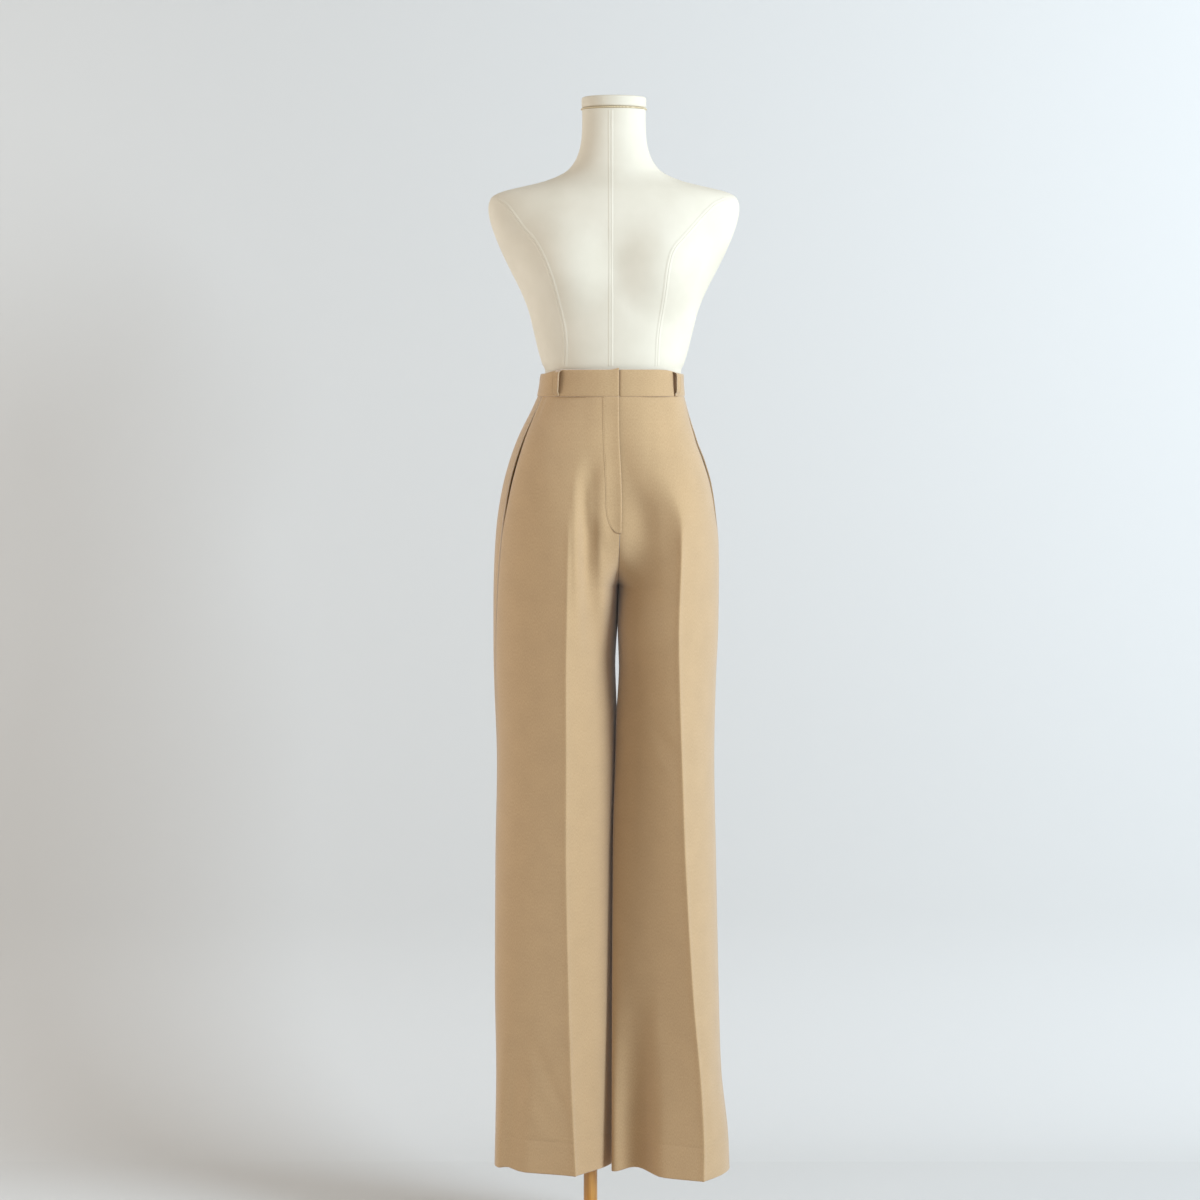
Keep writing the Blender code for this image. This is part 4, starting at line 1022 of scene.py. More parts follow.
def build_waistband(looks):
    wool = wool_material()
    halves = []
    for leg, other in ((RIGHT_LEG, LEFT_LEG), (LEFT_LEG, RIGHT_LEG)):
        rows = []
        for level in BAND_LEVELS:
            z = WAIST_SEAM_Z + BAND_HEIGHT * level.share
            row = band_half(leg, z, 0.0, SEAM_GAP / 2)
            side_spot = row[2 * BAND_STEPS]
            if leg.name == "left":
                under = stretch_of(band_half(other, z, 0.0, 0.0), UNDERLAP, 0.0, UNDERLAP_STEPS)
                slope = [moved([spot], -UNDERLAP_SINK * share)[0]
                         for spot, share in zip(row[1:3], UNDERLAP_EASE)]
                row = moved(under, -UNDERLAP_SINK) + slope + row[3:]
            else:
                row = past_center(row)
            lengths = lengths_along(row)
            cells = []
            for spot, length in zip(row, lengths):
                swell = (looks.unevenness * BAND_SWELL_SHARE
                         * unevenness(length, z, BAND_SEED * leg.outward))
                face = level.face + swell * sin(pi * level.share)
                height = z - side_drop(spot.x, side_spot.x, level.share)
                if leg.name == "right":
                    end_share = min(length / BAND_END_ROUND, 1.0)
                    turned = sqrt(1.0 - (1.0 - end_share) ** 2)
                    face += BAND_END_RISE * hump(length, BAND_END_REACH)
                    face *= BAND_END_LEAST + (1.0 - BAND_END_LEAST) * turned
                    height += BAND_CORNER_LIFT * level.share**4 * hump(length, BAND_CORNER_REACH)
                outward = Vector((spot.nx, spot.ny, 0.0))
                place = Vector((spot.x, spot.y, height))
                cells.append(Cell(place + outward * face, place + outward * BAND_INSIDE,
                                  (z, length)))
            rows.append(cells)
        name = "waistband_" + leg.name
        half = wall(name + "_cloth", rows, wool)
        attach(half, "root")
        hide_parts(name)
        length = max(row[-1].flat[1] for row in rows)
        halves.append(half)
    return halves


# Belt loops: which half of the band, and the share of that half's line from the front
BeltLoop = namedtuple("BeltLoop", "name half share")
BELT_LOOPS = [
    BeltLoop("front_right", "right", 0.292), BeltLoop("front_left", "left", 0.339),
    BeltLoop("back_right", "right", 0.700), BeltLoop("back_left", "left", 0.700),
    BeltLoop("center_back", "right", 1.0),
]
LOOP_THICKNESS = 0.0018
LOOP_INSET = 0.0012
LOOP_FACE = 0.0013
LOOP_ROWS = 28
LOOP_COLUMNS = 8
LOOP_EDGE_DROP = 0.0003

# A loop's shape: it is sewn flat at both ends and bowed most near the top. z is a share of
# the loop's height.
LoopLevel = namedtuple("LoopLevel", "z bow")
LOOP_LEVELS = [LoopLevel(0.0, 0.0), LoopLevel(0.05, 0.0), LoopLevel(0.10, 0.45),
               LoopLevel(0.18, 0.75), LoopLevel(0.42, 0.90), LoopLevel(0.74, 1.0),
               LoopLevel(0.90, 0.98), LoopLevel(0.96, 0.70), LoopLevel(1.0, 0.0)]


def build_belt_loops(looks):
    wool = wool_material()
    center = LOOP_COLUMNS // 2
    loops = []
    for loop in BELT_LOOPS:
        rows = []
        for level in range(LOOP_ROWS + 1):
            share = level / LOOP_ROWS
            z = WAIST_SEAM_Z + LOOP_INSET + (BAND_HEIGHT - 2 * LOOP_INSET) * share
            right_half, left_half = (band_half(leg, z, 0.0, 0.0) for leg in (RIGHT_LEG, LEFT_LEG))
            middle = row_length(right_half) * loop.share
            if loop.half == "left":
                middle = row_length(right_half) + row_length(left_half) * (1.0 - loop.share)
            whole = right_half + left_half[::-1][1:]
            strap = stretch_of(whole, middle - LOOP_WIDTH / 2, middle + LOOP_WIDTH / 2,
                               LOOP_COLUMNS)
            bow = along(LOOP_LEVELS, "bow", share)
            cells = []
            for i, spot in enumerate(strap):
                edge = abs(i - center) / center
                face = (LOOP_FACE + LOOP_THICKNESS + LOOP_STAND_OFF * bow
                        - LOOP_EDGE_DROP * edge**4)
                outward = Vector((strap[center].nx, strap[center].ny, 0.0))
                side_leg = RIGHT_LEG if spot.x < 0.0 else LEFT_LEG
                low = side_drop(spot.x, side_leg.value("side_x", z), share)
                place = Vector((spot.x, spot.y, z - low))
                cells.append(Cell(place + outward * face,
                                  place + outward * (face - LOOP_THICKNESS),
                                  (i * LOOP_WIDTH / LOOP_COLUMNS, z)))
            rows.append(cells)
        name = "belt_loop_" + loop.name
        strap_cloth = wall(name + "_cloth", rows, wool)
        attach(strap_cloth, "root")
        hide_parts(name)
        loops.append(strap_cloth)
    build_loop_stitches(loops)
    return loops


def build_loop_stitches(loops):
    """The short bars of stitches that hold each loop at both its ends."""
    vertices = []
    faces = []
    for strap in loops:
        corners = strap.data.vertices
        columns = LOOP_COLUMNS + 1
        for row in (1, LOOP_ROWS - 1):
            cells = [corners[row * columns + i].co.copy() for i in range(columns)]
            center = LOOP_COLUMNS // 2
            above = corners[(row + 1) * columns + center].co - cells[center]
            outward = (cells[-1] - cells[0]).cross(above).normalized()
            if outward.dot(Vector((cells[center].x, cells[center].y, 0.0))) < 0.0:
                outward = -outward
            for k in range(LOOP_STITCHES):
                place = cells[0].lerp(cells[-1], (k + 0.5) / LOOP_STITCHES)
                add_stitch(vertices, faces, place + outward * STITCH_LIFT, cells[-1] - cells[0],
                           outward)
    stitching("belt_loop_stitching", vertices, faces, thread_material())


FACING_BELOW = 0.016
FACING_ROWS = 40
FACING_COLUMNS = 8
FACING_COLUMN_WIDTH = 0.003
FACING_HIDDEN = 0.004
FACING_THICKNESS = CLOTH * 0.8


def build_pocket_facings(looks):
    wool = wool_material()
    facings = []
    for leg in (RIGHT_LEG, LEFT_LEG):
        rows = []
        low = POCKET_BOTTOM_Z - FACING_BELOW
        top = WAIST_SEAM_Z - SEAM_GAP
        for i in range(FACING_ROWS):
            z = low + (top - low) * i / (FACING_ROWS - 1)
            back = leg.back_row(z)
            row = back[-BACK_WRAP_STEPS:-1] + leg.front_row(z)
            hidden = row_length(row[:BACK_WRAP_STEPS])
            start = max(hidden - FACING_HIDDEN, 0.0)
            stretch = stretch_of(row, start, hidden + FACING_REACH, FACING_COLUMNS)
            behind = CLOTH + 2 * SEAM_GAP + looks.seam_dip + looks.pocket_gape * pocket_gape(z)
            faces = zip(moved(stretch, -behind), moved(stretch, -behind - FACING_THICKNESS))
            cells = [Cell(Vector((outer.x, outer.y, z)), Vector((inner.x, inner.y, z)),
                          (k * FACING_COLUMN_WIDTH, z))
                     for k, (outer, inner) in enumerate(faces)]
            rows.append(cells)
        name = "pocket_facing_" + leg.name
        facing = wall(name + "_cloth", rows, wool)
        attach(facing, "root")
        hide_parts(name)
        facings.append(facing)
    return facings


def bust_swell(x, z):
    """How far the smooth bust of the form stands out."""
    across = (abs(x) - BUST_X) / BUST_WIDTH
    up = (z - BUST_Z) / BUST_HEIGHT
    reach = across * across + up * up
    return BUST_DEPTH * (1.0 - reach) ** 2 if reach < 1.0 else 0.0


def torso_ring(z):
    return Ring(z, *(along(TORSO_RINGS, column, z) for column in Ring._fields[1:]))


def torso_place(ring, angle):
    power = 2.0 / ring.square
    x_share, y_share = cos(angle), sin(angle)
    x = ring.half_width * abs(x_share) ** power * (1 if x_share > 0 else -1)
    depth = ring.back if y_share > 0 else -ring.front
    y = depth * abs(y_share) ** power * (1 if y_share > 0 else -1)
    if y_share < 0:
        y -= bust_swell(x, ring.z) * smooth_step(abs(y_share) * BUST_EASE)
    shift = NECK_X * smooth_step((ring.z - NECK_SHIFT_FROM_Z) / NECK_SHIFT_LENGTH)
    return Vector((x + shift, y, ring.z))


def torso_heights():
    heights = []
    for low, high in zip(TORSO_RINGS, TORSO_RINGS[1:]):
        parts = 1 + int((high.z - low.z) / TORSO_RING_GAP)
        heights += [low.z + (high.z - low.z) * i / parts for i in range(parts)]
    return heights + [TORSO_RINGS[-1].z]


def build_form(looks):
    cover = form_material()
    vertices = []
    faces = []
    heights = torso_heights()
    for z in heights:
        ring = torso_ring(z)
        vertices += [torso_place(ring, 2 * pi * i / TORSO_SEGMENTS) for i in range(TORSO_SEGMENTS)]
    for level in range(len(heights) - 1):
        for i in range(TORSO_SEGMENTS):
            k = (i + 1) % TORSO_SEGMENTS
            a, b = level * TORSO_SEGMENTS, (level + 1) * TORSO_SEGMENTS
            faces.append((a + i, a + k, b + k, b + i))
    last = (len(heights) - 1) * TORSO_SEGMENTS
    faces.append(tuple(range(TORSO_SEGMENTS))[::-1])
    faces.append(tuple(last + i for i in range(TORSO_SEGMENTS)))
    flats = [(v.x, v.z) for v in vertices]
    torso = new_object("form_cover", vertices, faces, flats, cover)
    torso.data.set_sharp_from_angle(angle=radians(50))
    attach(torso, "root")
    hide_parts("torso")
    build_form_seams(cover)
    return torso


# A seam of the form's cover: two soft swells with the stitched line between them
SEAM_PROFILE = [(-0.0042, -0.00015), (-0.0028, 0.00030), (-0.0014, 0.00065), (-0.0005, 0.00045),
                (0.0, 0.00005), (0.0005, 0.00045), (0.0014, 0.00065), (0.0028, 0.00030),
                (0.0042, -0.00015)]


def angle_at(ring, x, side):
    """The angle on a ring at which the form is at a place across it, front or back."""
    low, high = 0.0, pi
    sign = -1.0 if side == "front" else 1.0
    for _ in range(ANGLE_HALVINGS):
        middle = (low + high) / 2
        if torso_place(ring, sign * middle).x > x:
            low = middle
        else:
            high = middle
    return sign * (low + high) / 2


def seam_path(places, side):
    low = min(place.z for place in places)
    high = max(place.z for place in places)
    count = int((high - low) / COVER_SEAM_STEP)
    path = []
    for i in range(count + 1):
        z = low + (high - low) * i / count
        ring = torso_ring(z)
        angle = angle_at(ring, along(places, "x", z), side)
        place = torso_place(ring, angle)
        around = (torso_place(ring, angle + COVER_SEAM_TURN)
                  - torso_place(ring, angle - COVER_SEAM_TURN))
        above = torso_ring(min(z + COVER_SEAM_RISE, TORSO_TOP_Z))
        below = torso_ring(z - COVER_SEAM_RISE)
        up = torso_place(above, angle) - torso_place(below, angle)
        path.append((place, around.cross(up).normalized()))
    return path


def build_form_seams(cover):
    vertices = []
    faces = []
    paths = [seam_path(CENTER_FRONT_SEAM, "front"), seam_path(RIGHT_FRONT_SEAM, "front"),
             seam_path(LEFT_FRONT_SEAM, "front"), seam_path(CENTER_BACK_SEAM, "back"),
             seam_path(RIGHT_BACK_SEAM, "back"), seam_path(LEFT_BACK_SEAM, "back")]
    width = len(SEAM_PROFILE)
    for path in paths:
        first = len(vertices)
        for i, (place, outward) in enumerate(path):
            ahead = path[min(i + 1, len(path) - 1)][0] - path[max(i - 1, 0)][0]
            across = ahead.cross(outward).normalized()
            vertices += [place + across * reach + outward * rise for reach, rise in SEAM_PROFILE]
        for i in range(len(path) - 1):
            for k in range(width - 1):
                a = first + i * width + k
                faces.append((a, a + width, a + width + 1, a + 1))
    flats = [(v.x, v.z) for v in vertices]
    seams = new_object("form_seams", vertices, faces, flats, cover)
    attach(seams, "root")
    return seams


def deselect_all():
    for item in bpy.context.selected_objects:
        item.select_set(False)


def finished_by_hand(name, material, node):
    """Puts the active object at the origin, names it and hands it to the frame."""
    piece = bpy.context.object
    bpy.ops.object.transform_apply(location=True, rotation=True, scale=True)
    piece.name = name
    piece.data.name = name
    piece.data.materials.clear()
    piece.data.materials.append(material)
    bpy.ops.object.shade_smooth_by_angle(angle=radians(35))
    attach(piece, "root")
    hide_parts(node)
    return piece


def bevelled(width, segments):
    """Bevels the active object's sharp edges in edit mode."""
    bpy.ops.object.mode_set(mode="EDIT")
    bpy.ops.mesh.select_all(action="DESELECT")
    bpy.ops.mesh.edges_select_sharp(sharpness=radians(40))
    bpy.ops.mesh.bevel(offset=width, segments=segments, profile=0.5, affect="EDGES")
    bpy.ops.object.mode_set(mode="OBJECT")


def build_neck(looks):
    ring_low = TORSO_TOP_Z + SEAM_GAP
    cap_low = ring_low + RING_HEIGHT + SEAM_GAP
    deselect_all()
    bpy.ops.mesh.primitive_cylinder_add(vertices=96, radius=CAP_RADIUS + RING_PROUD,
                                        depth=RING_HEIGHT,
                                        location=(NECK_X, NECK_Y, ring_low + RING_HEIGHT / 2))
    bevelled(RING_HEIGHT * RING_ROUND_SHARE, 4)
    cord = finished_by_hand("neck_cord", cord_material(), "neck_ring")
    deselect_all()
    bpy.ops.mesh.primitive_cylinder_add(vertices=96, radius=CAP_RADIUS, depth=CAP_HEIGHT,
                                        location=(NECK_X, NECK_Y, cap_low + CAP_HEIGHT / 2))
    bevelled(CAP_ROUND, 5)
    cap = finished_by_hand("neck_cap_cover", form_material(), "neck_cap")
    return cord, cap


def build_stand(looks):
    wood = wood_material()
    foot = BASE_HEIGHT + HUB_HEIGHT - SOCKET_DEPTH
    top = TORSO_BOTTOM_Z - SEAM_GAP
    deselect_all()
    bpy.ops.mesh.primitive_cylinder_add(vertices=64, radius=POLE_RADIUS,
                                        depth=top - foot - SEAM_GAP,
                                        location=(POLE_X, 0.0, (top + foot + SEAM_GAP) / 2))
    bevelled(POLE_ROUND, 3)
    pole = finished_by_hand("varnished_pole", wood, "pole")
    deselect_all()
    bpy.ops.mesh.primitive_cylinder_add(vertices=128, radius=BASE_RADIUS, depth=BASE_HEIGHT,
                                        location=(POLE_X, 0.0, BASE_HEIGHT / 2))
    bevelled(BASE_ROUND, 5)
    disc = bpy.context.object
    deselect_all()
    hub_middle = BASE_HEIGHT + HUB_HEIGHT / 2 - HUB_SUNK / 2
    bpy.ops.mesh.primitive_cone_add(vertices=96, radius1=HUB_RADIUS + HUB_TAPER,
                                    radius2=HUB_RADIUS - HUB_TAPER, depth=HUB_HEIGHT + HUB_SUNK,
                                    location=(POLE_X, 0.0, hub_middle))
    bevelled(HUB_ROUND, 4)
    disc.select_set(True)
    bpy.context.view_layer.objects.active = disc
    bpy.ops.object.join()
    base = finished_by_hand("turned_base", wood, "base")
    return pole, base


class Shader:
    """A material's node tree, with short calls for the nodes that it is built from."""

    def __init__(self, name):
        self.material = bpy.data.materials.new(name)
        self.material.use_nodes = True
        self.tree = self.material.node_tree
        self.surface = self.tree.nodes["Principled BSDF"]
        self.coordinates = self.tree.nodes.new("ShaderNodeTexCoord")

    def set(self, **values):
        for name, value in values.items():
            self.surface.inputs[name.replace("_", " ")].default_value = value

    def link(self, source, target):
        self.tree.links.new(source, target)

    def stretched(self, source, scale, turn=0.0):
        mapping = self.tree.nodes.new("ShaderNodeMapping")
        mapping.inputs["Scale"].default_value = scale
        mapping.inputs["Rotation"].default_value = (0.0, 0.0, turn)
        self.link(source, mapping.inputs["Vector"])
        return mapping.outputs["Vector"]

    def noise(self, vector, scale, detail=2.0, roughness=0.5):
        node = self.tree.nodes.new("ShaderNodeTexNoise")
        node.inputs["Scale"].default_value = scale
        node.inputs["Detail"].default_value = detail
        node.inputs["Roughness"].default_value = roughness
        self.link(vector, node.inputs["Vector"])
        return node.outputs["Fac"]

    def wave(self, vector, scale, distortion=0.0, direction="X"):
        node = self.tree.nodes.new("ShaderNodeTexWave")
        node.bands_direction = direction
        node.inputs["Scale"].default_value = scale
        node.inputs["Distortion"].default_value = distortion
        node.inputs["Detail"].default_value = 1.0
        self.link(vector, node.inputs["Vector"])
        return node.outputs["Fac"]

    def blend(self, share, low, high, low_share=0.0, high_share=1.0):
        ramp = self.tree.nodes.new("ShaderNodeValToRGB")
        ramp.color_ramp.elements[0].position = low_share
        ramp.color_ramp.elements[1].position = high_share
        ramp.color_ramp.elements[0].color = (*low, 1.0)
        ramp.color_ramp.elements[1].color = (*high, 1.0)
        self.link(share, ramp.inputs["Fac"])
        return ramp.outputs["Color"]

    def multiply(self, first, second):
        node = self.tree.nodes.new("ShaderNodeMix")
        node.data_type = "RGBA"
        node.blend_type = "MULTIPLY"
        node.inputs[0].default_value = 1.0
        self.link(first, node.inputs[6])
        self.link(second, node.inputs[7])
        return node.outputs[2]

    def bump(self, height, strength, distance, below=None):
        node = self.tree.nodes.new("ShaderNodeBump")
        node.inputs["Strength"].default_value = strength
        node.inputs["Distance"].default_value = distance
        self.link(height, node.inputs["Height"])
        if below is not None:
            self.link(below, node.inputs["Normal"])
        return node.outputs["Normal"]


WOOL_DARK = (0.465, 0.300, 0.152)
WOOL_LIGHT = (0.535, 0.360, 0.196)


def wool_material():
    """Matt camel wool: a fine twill under a light nap, mottled like dyed-in-the-wool yarn."""
    found = bpy.data.materials.get("camel_wool_cloth")
    if found:
        return found
    shader = Shader("camel_wool_cloth")
    flat = shader.coordinates.outputs["UV"]
    yarn = shader.noise(shader.stretched(flat, (1.0, 0.35, 1.0)), 900.0, 2.0)
    cloudy = shader.noise(flat, 26.0, 3.0)
    colour = shader.multiply(shader.blend(yarn, WOOL_DARK, WOOL_LIGHT, 0.3, 0.7),
                             shader.blend(cloudy, (0.95, 0.95, 0.95), (1.0, 1.0, 1.0), 0.3, 0.7))
    shader.link(colour, shader.surface.inputs["Base Color"])
    twill = shader.wave(shader.stretched(flat, (1.0, 1.0, 1.0), radians(35)), 300.0, 0.6)
    nap = shader.noise(flat, 1500.0, 3.0)
    normal = shader.bump(nap, 0.35, 0.0002, shader.bump(twill, 0.25, 0.0002))
    shader.link(normal, shader.surface.inputs["Normal"])
    shader.set(Roughness=0.92, Specular_IOR_Level=0.2, Sheen_Weight=0.45, Sheen_Roughness=0.5)
    shader.surface.inputs["Sheen Tint"].default_value = (0.96, 0.97, 1.0, 1.0)
    return shader.material


def thread_material():
    """Camel sewing thread, a little darker than the cloth."""
    found = bpy.data.materials.get("camel_thread")
    if found:
        return found
    shader = Shader("camel_thread")
    twist = shader.wave(shader.coordinates.outputs["Object"], 600.0, 0.5)
    shader.link(shader.blend(twist, (0.30, 0.185, 0.085), (0.38, 0.245, 0.120)),
                shader.surface.inputs["Base Color"])
    shader.set(Roughness=0.7)
    return shader.material


def form_material():
    """Cream cotton cover with a plain weave."""
    found = bpy.data.materials.get("cream_cotton_cover")
    if found:
        return found
    shader = Shader("cream_cotton_cover")
    place = shader.coordinates.outputs["Object"]
    cloudy = shader.noise(place, 18.0, 3.0)
    shader.link(shader.blend(cloudy, (0.69, 0.62, 0.50), (0.74, 0.67, 0.55), 0.3, 0.7),
                shader.surface.inputs["Base Color"])
    warp = shader.wave(place, 260.0, 0.3, "X")
    weft = shader.wave(place, 260.0, 0.3, "Z")
    normal = shader.bump(weft, 0.12, 0.0002, shader.bump(warp, 0.12, 0.0002))
    shader.link(normal, shader.surface.inputs["Normal"])
    shader.set(Roughness=0.75, Specular_IOR_Level=0.3)
    return shader.material


def cord_material():
    """Thin tan cord with a gilt twist."""
    shader = Shader("gilt_cord")
    place = shader.coordinates.outputs["Object"]
    twist = shader.wave(shader.stretched(place, (1.0, 1.0, 1.0), radians(40)), 110.0, 1.0)
    shader.link(shader.blend(twist, (0.52, 0.40, 0.23), (0.70, 0.58, 0.38)),
                shader.surface.inputs["Base Color"])
    shader.set(Roughness=0.5)
    return shader.material


def wood_material():
    """Light hardwood under clear varnish, with its grain up the pole."""
    shader = Shader("varnished_hardwood")
    place = shader.coordinates.outputs["Object"]
    grain = shader.noise(shader.stretched(place, (60.0, 60.0, 2.4)), 6.0, 5.0, 0.6)
    shader.link(shader.blend(grain, (0.46, 0.21, 0.040), (0.70, 0.37, 0.095), 0.3, 0.72),
                shader.surface.inputs["Base Color"])
    pores = shader.noise(shader.stretched(place, (400.0, 400.0, 12.0)), 4.0, 2.0)
    shader.link(shader.bump(pores, 0.15, 0.0002), shader.surface.inputs["Normal"])
    shader.set(Roughness=0.38, Coat_Weight=0.6, Coat_Roughness=0.12)
    return shader.material


# The stage. Its camera looks slightly down from waist height.
CAMERA_PLACE = (-0.019, -4.5, 1.294)
CAMERA_DIP = 4.239
CAMERA_LENS = 93.09
CAMERA_SENSOR = 36.0
WALL_Y = 0.85
COVE_RADIUS = 0.35
WALL_TOP_Z = 5.0
STAGE_HALF_WIDTH = 7.0
COVE_STEPS = 12
BACKDROP_LIFT = 0.0005
FLOOR_RADIUS = 9.0
PAINT = (0.635, 0.62, 0.60)
AMBIENT_COLOUR = (1.0, 0.94, 0.86)

StageLight = namedtuple("StageLight", "name place aim size colour")
KEY_LIGHT = StageLight("key_light", (2.85, -2.07, 2.3), (0.0, 0.0, 0.95), 1.6,
                       (0.72, 0.865, 1.0))
FILL_LIGHT = StageLight("fill_light", (-3.6, -0.5, 1.5), (0.0, 0.0, 0.9), 2.2,
                        (1.0, 0.98, 0.95))


def wall_material():
    """Pale painted wall, seen from its front alone, so that the back of the part shows too."""
    shader = Shader("pale_wall")
    shader.set(Roughness=0.9, Specular_IOR_Level=0.1)
    shader.surface.inputs["Base Color"].default_value = (*PAINT, 1.0)
    geometry = shader.tree.nodes.new("ShaderNodeNewGeometry")
    clear = shader.tree.nodes.new("ShaderNodeBsdfTransparent")
    mix = shader.tree.nodes.new("ShaderNodeMixShader")
    shader.link(geometry.outputs["Backfacing"], mix.inputs[0])
    shader.link(shader.surface.outputs["BSDF"], mix.inputs[1])
    shader.link(clear.outputs["BSDF"], mix.inputs[2])
    output = shader.tree.nodes["Material Output"]
    shader.link(mix.outputs["Shader"], output.inputs["Surface"])
    return shader.material


def build_stage(looks):
    paint = wall_material()
    profile = [(WALL_Y - COVE_RADIUS, BACKDROP_LIFT)]
    for i in range(1, COVE_STEPS + 1):
        turn = pi / 2 * i / COVE_STEPS
        profile.append((WALL_Y - COVE_RADIUS * (1.0 - sin(turn)),
                        BACKDROP_LIFT + COVE_RADIUS * (1.0 - cos(turn))))
    profile.append((WALL_Y, WALL_TOP_Z))
    vertices = []
    for y, z in profile:
        vertices += [Vector((-STAGE_HALF_WIDTH, y, z)), Vector((STAGE_HALF_WIDTH, y, z))]
    faces = [(2 * i, 2 * i + 1, 2 * i + 3, 2 * i + 2) for i in range(len(profile) - 1)]
    backdrop = new_object("backdrop", vertices, faces, [(v.x, v.z) for v in vertices], paint)
    deselect_all()
    bpy.ops.mesh.primitive_circle_add(vertices=96, radius=FLOOR_RADIUS, fill_type="NGON")
    floor = bpy.context.object
    floor.name = "floor"
    floor.data.materials.append(paint)

    add_light(KEY_LIGHT, looks.key_light)
    add_light(FILL_LIGHT, looks.fill_light)

    world = bpy.data.worlds.new("soft_daylight")
    world.use_nodes = True
    background = world.node_tree.nodes["Background"]
    background.inputs["Color"].default_value = (*AMBIENT_COLOUR, 1.0)
    background.inputs["Strength"].default_value = looks.ambient
    bpy.context.scene.world = world
    bpy.context.scene.view_settings.view_transform = "Standard"

    camera_data = bpy.data.cameras.new("camera")
    camera_data.lens = CAMERA_LENS
    camera_data.sensor_width = CAMERA_SENSOR
    camera = bpy.data.objects.new("camera", camera_data)
    camera.location = CAMERA_PLACE
    camera.rotation_euler = (radians(90.0 - CAMERA_DIP), 0.0, 0.0)
    bpy.context.scene.collection.objects.link(camera)
    bpy.context.scene.camera = camera


def add_light(row, power):
    data = bpy.data.lights.new(row.name, "AREA")
    data.shape = "DISK"
    data.size = row.size
    data.energy = power
    data.color = row.colour
    light = bpy.data.objects.new(row.name, data)
    light.location = row.place
    heading = Vector(row.aim) - Vector(row.place)
    light.rotation_euler = heading.to_track_quat("-Z", "Y").to_euler()
    bpy.context.scene.collection.objects.link(light)
    return light


class TrousersLooks(bpy.types.PropertyGroup):
    """The sizes and strengths that the dressing is built from."""

    crease_rise: bpy.props.FloatProperty(
        name="Crease Rise", description="How far a pressed crease stands up",
        default=0.0008, min=0.0, max=0.003, precision=4, subtype="DISTANCE", unit="LENGTH")
    seam_dip: bpy.props.FloatProperty(
        name="Seam Dip", description="How deep the cloth sinks at a seam",
        default=0.0005, min=0.0, max=0.002, precision=4, subtype="DISTANCE", unit="LENGTH")
    unevenness: bpy.props.FloatProperty(
        name="Unevenness", description="Height of the soft swells in the cloth",
        default=0.0006, min=0.0, max=0.004, precision=4, subtype="DISTANCE", unit="LENGTH")
    pocket_gape: bpy.props.FloatProperty(
        name="Pocket Gape", description="How strongly a pocket mouth sinks and opens",
        default=0.0030, min=0.0, max=0.006, precision=4, subtype="DISTANCE", unit="LENGTH")
    key_light: bpy.props.FloatProperty(
        name="Key Light", description="Power of the light from the front right",
        default=182.0, min=0.0, max=1000.0, subtype="POWER", unit="POWER")
    fill_light: bpy.props.FloatProperty(
        name="Fill Light", description="Power of the light from the left",
        default=60.0, min=0.0, max=1000.0, subtype="POWER", unit="POWER")
    ambient: bpy.props.FloatProperty(
        name="Ambient", description="Strength of the light from all round",
        default=0.44, min=0.0, max=5.0)


class BuildOperator:
    """What the build operators share: they run a builder with the scene's settings."""

    bl_options = {"REGISTER", "UNDO"}

    def execute(self, context):
        self.build(context.scene.trousers_looks)
        return {"FINISHED"}


class OBJECT_OT_trousers_front_panels(BuildOperator, bpy.types.Operator):
    """Build the two front panels with their creases, folds and turned-up hems."""

    bl_idname = "object.trousers_front_panels"
    bl_label = "Front Panels"

    def build(self, looks):
        build_panels(looks, "front")


class OBJECT_OT_trousers_back_panels(BuildOperator, bpy.types.Operator):
    """Build the two back panels with their creases, folds and turned-up hems."""

    bl_idname = "object.trousers_back_panels"
    bl_label = "Back Panels"

    def build(self, looks):
        build_panels(looks, "back")


class OBJECT_OT_trousers_fly(BuildOperator, bpy.types.Operator):
    """Build the fly lap on the right front, with its stitching."""

    bl_idname = "object.trousers_fly"
    bl_label = "Fly Lap"

    def build(self, looks):
        build_fly(looks)


class OBJECT_OT_trousers_waistband(BuildOperator, bpy.types.Operator):
    """Build both halves of the waistband, the right one lapped over the left."""

    bl_idname = "object.trousers_waistband"
    bl_label = "Waistband"

    def build(self, looks):
        build_waistband(looks)


class OBJECT_OT_trousers_belt_loops(BuildOperator, bpy.types.Operator):
    """Build the five belt loops with their stitches."""

    bl_idname = "object.trousers_belt_loops"
    bl_label = "Belt Loops"

    def build(self, looks):
        build_belt_loops(looks)


class OBJECT_OT_trousers_pocket_facings(BuildOperator, bpy.types.Operator):
    """Build the cloth behind the two pocket mouths."""

    bl_idname = "object.trousers_pocket_facings"
    bl_label = "Pocket Facings"

    def build(self, looks):
        build_pocket_facings(looks)


class OBJECT_OT_trousers_form(BuildOperator, bpy.types.Operator):
    """Build the dress form's covered body with its seams."""

    bl_idname = "object.trousers_form"
    bl_label = "Dress Form"

    def build(self, looks):
        build_form(looks)


class OBJECT_OT_trousers_neck(BuildOperator, bpy.types.Operator):
    """Build the neck's cap and the cord under it."""

    bl_idname = "object.trousers_neck"
    bl_label = "Neck Cap and Cord"

    def build(self, looks):
        build_neck(looks)


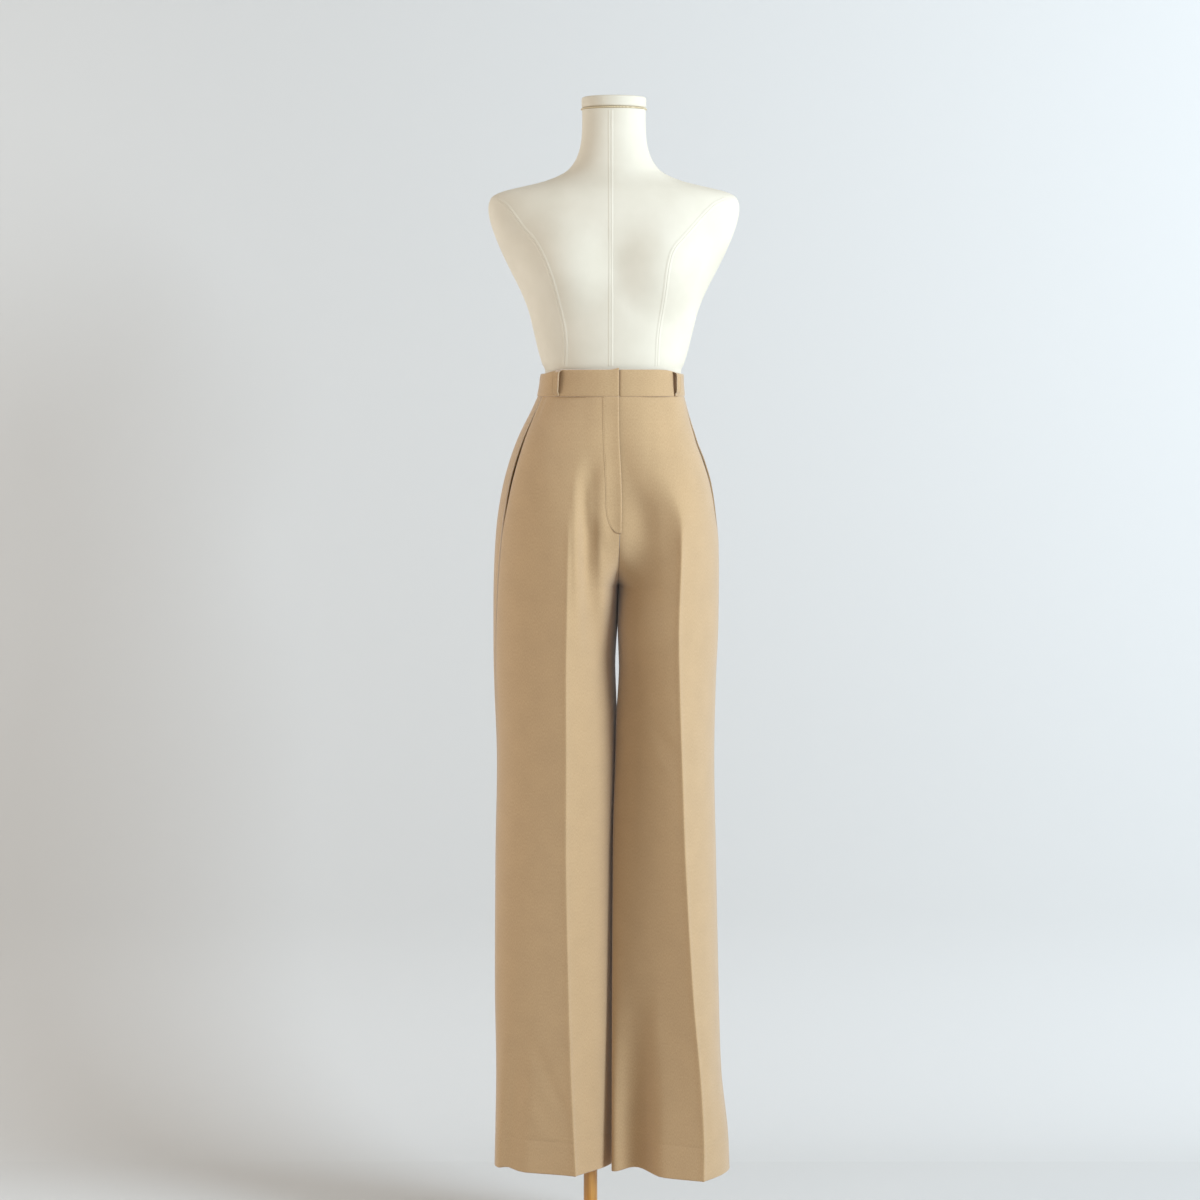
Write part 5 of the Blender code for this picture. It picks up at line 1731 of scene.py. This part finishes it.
class OBJECT_OT_trousers_stand(BuildOperator, bpy.types.Operator):
    """Build the varnished pole and its turned base."""

    bl_idname = "object.trousers_stand"
    bl_label = "Pole and Base"

    def build(self, looks):
        build_stand(looks)


class OBJECT_OT_trousers_stage(BuildOperator, bpy.types.Operator):
    """Set up the wall, the floor, the lights and the camera."""

    bl_idname = "object.trousers_stage"
    bl_label = "Photo Stage"

    def build(self, looks):
        build_stage(looks)


STEPS = (
    OBJECT_OT_trousers_front_panels,
    OBJECT_OT_trousers_back_panels,
    OBJECT_OT_trousers_fly,
    OBJECT_OT_trousers_waistband,
    OBJECT_OT_trousers_belt_loops,
    OBJECT_OT_trousers_pocket_facings,
    OBJECT_OT_trousers_form,
    OBJECT_OT_trousers_neck,
    OBJECT_OT_trousers_stand,
    OBJECT_OT_trousers_stage,
)


class VIEW3D_PT_trousers(bpy.types.Panel):
    """Lists the settings and the steps in the order in which they are run."""

    bl_label = "Trousers"
    bl_idname = "VIEW3D_PT_trousers"
    bl_space_type = "VIEW_3D"
    bl_region_type = "UI"
    bl_category = "Trousers"

    def draw(self, context):
        column = self.layout.column()
        for name in TrousersLooks.__annotations__:
            column.prop(context.scene.trousers_looks, name)
        for step in STEPS:
            column.operator(step.bl_idname)


CLASSES = (TrousersLooks, *STEPS, VIEW3D_PT_trousers)


def register():
    for item in CLASSES:
        bpy.utils.register_class(item)
    bpy.types.Scene.trousers_looks = bpy.props.PointerProperty(type=TrousersLooks)


def unregister():
    del bpy.types.Scene.trousers_looks
    for item in reversed(CLASSES):
        bpy.utils.unregister_class(item)


def main():
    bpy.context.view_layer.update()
    register()
    bpy.ops.object.trousers_front_panels()
    bpy.ops.object.trousers_back_panels()
    bpy.ops.object.trousers_fly()
    bpy.ops.object.trousers_waistband()
    bpy.ops.object.trousers_belt_loops()
    bpy.ops.object.trousers_pocket_facings()
    bpy.ops.object.trousers_form()
    bpy.ops.object.trousers_neck()
    bpy.ops.object.trousers_stand()
    bpy.ops.object.trousers_stage()


if __name__ == "__main__":
    main()
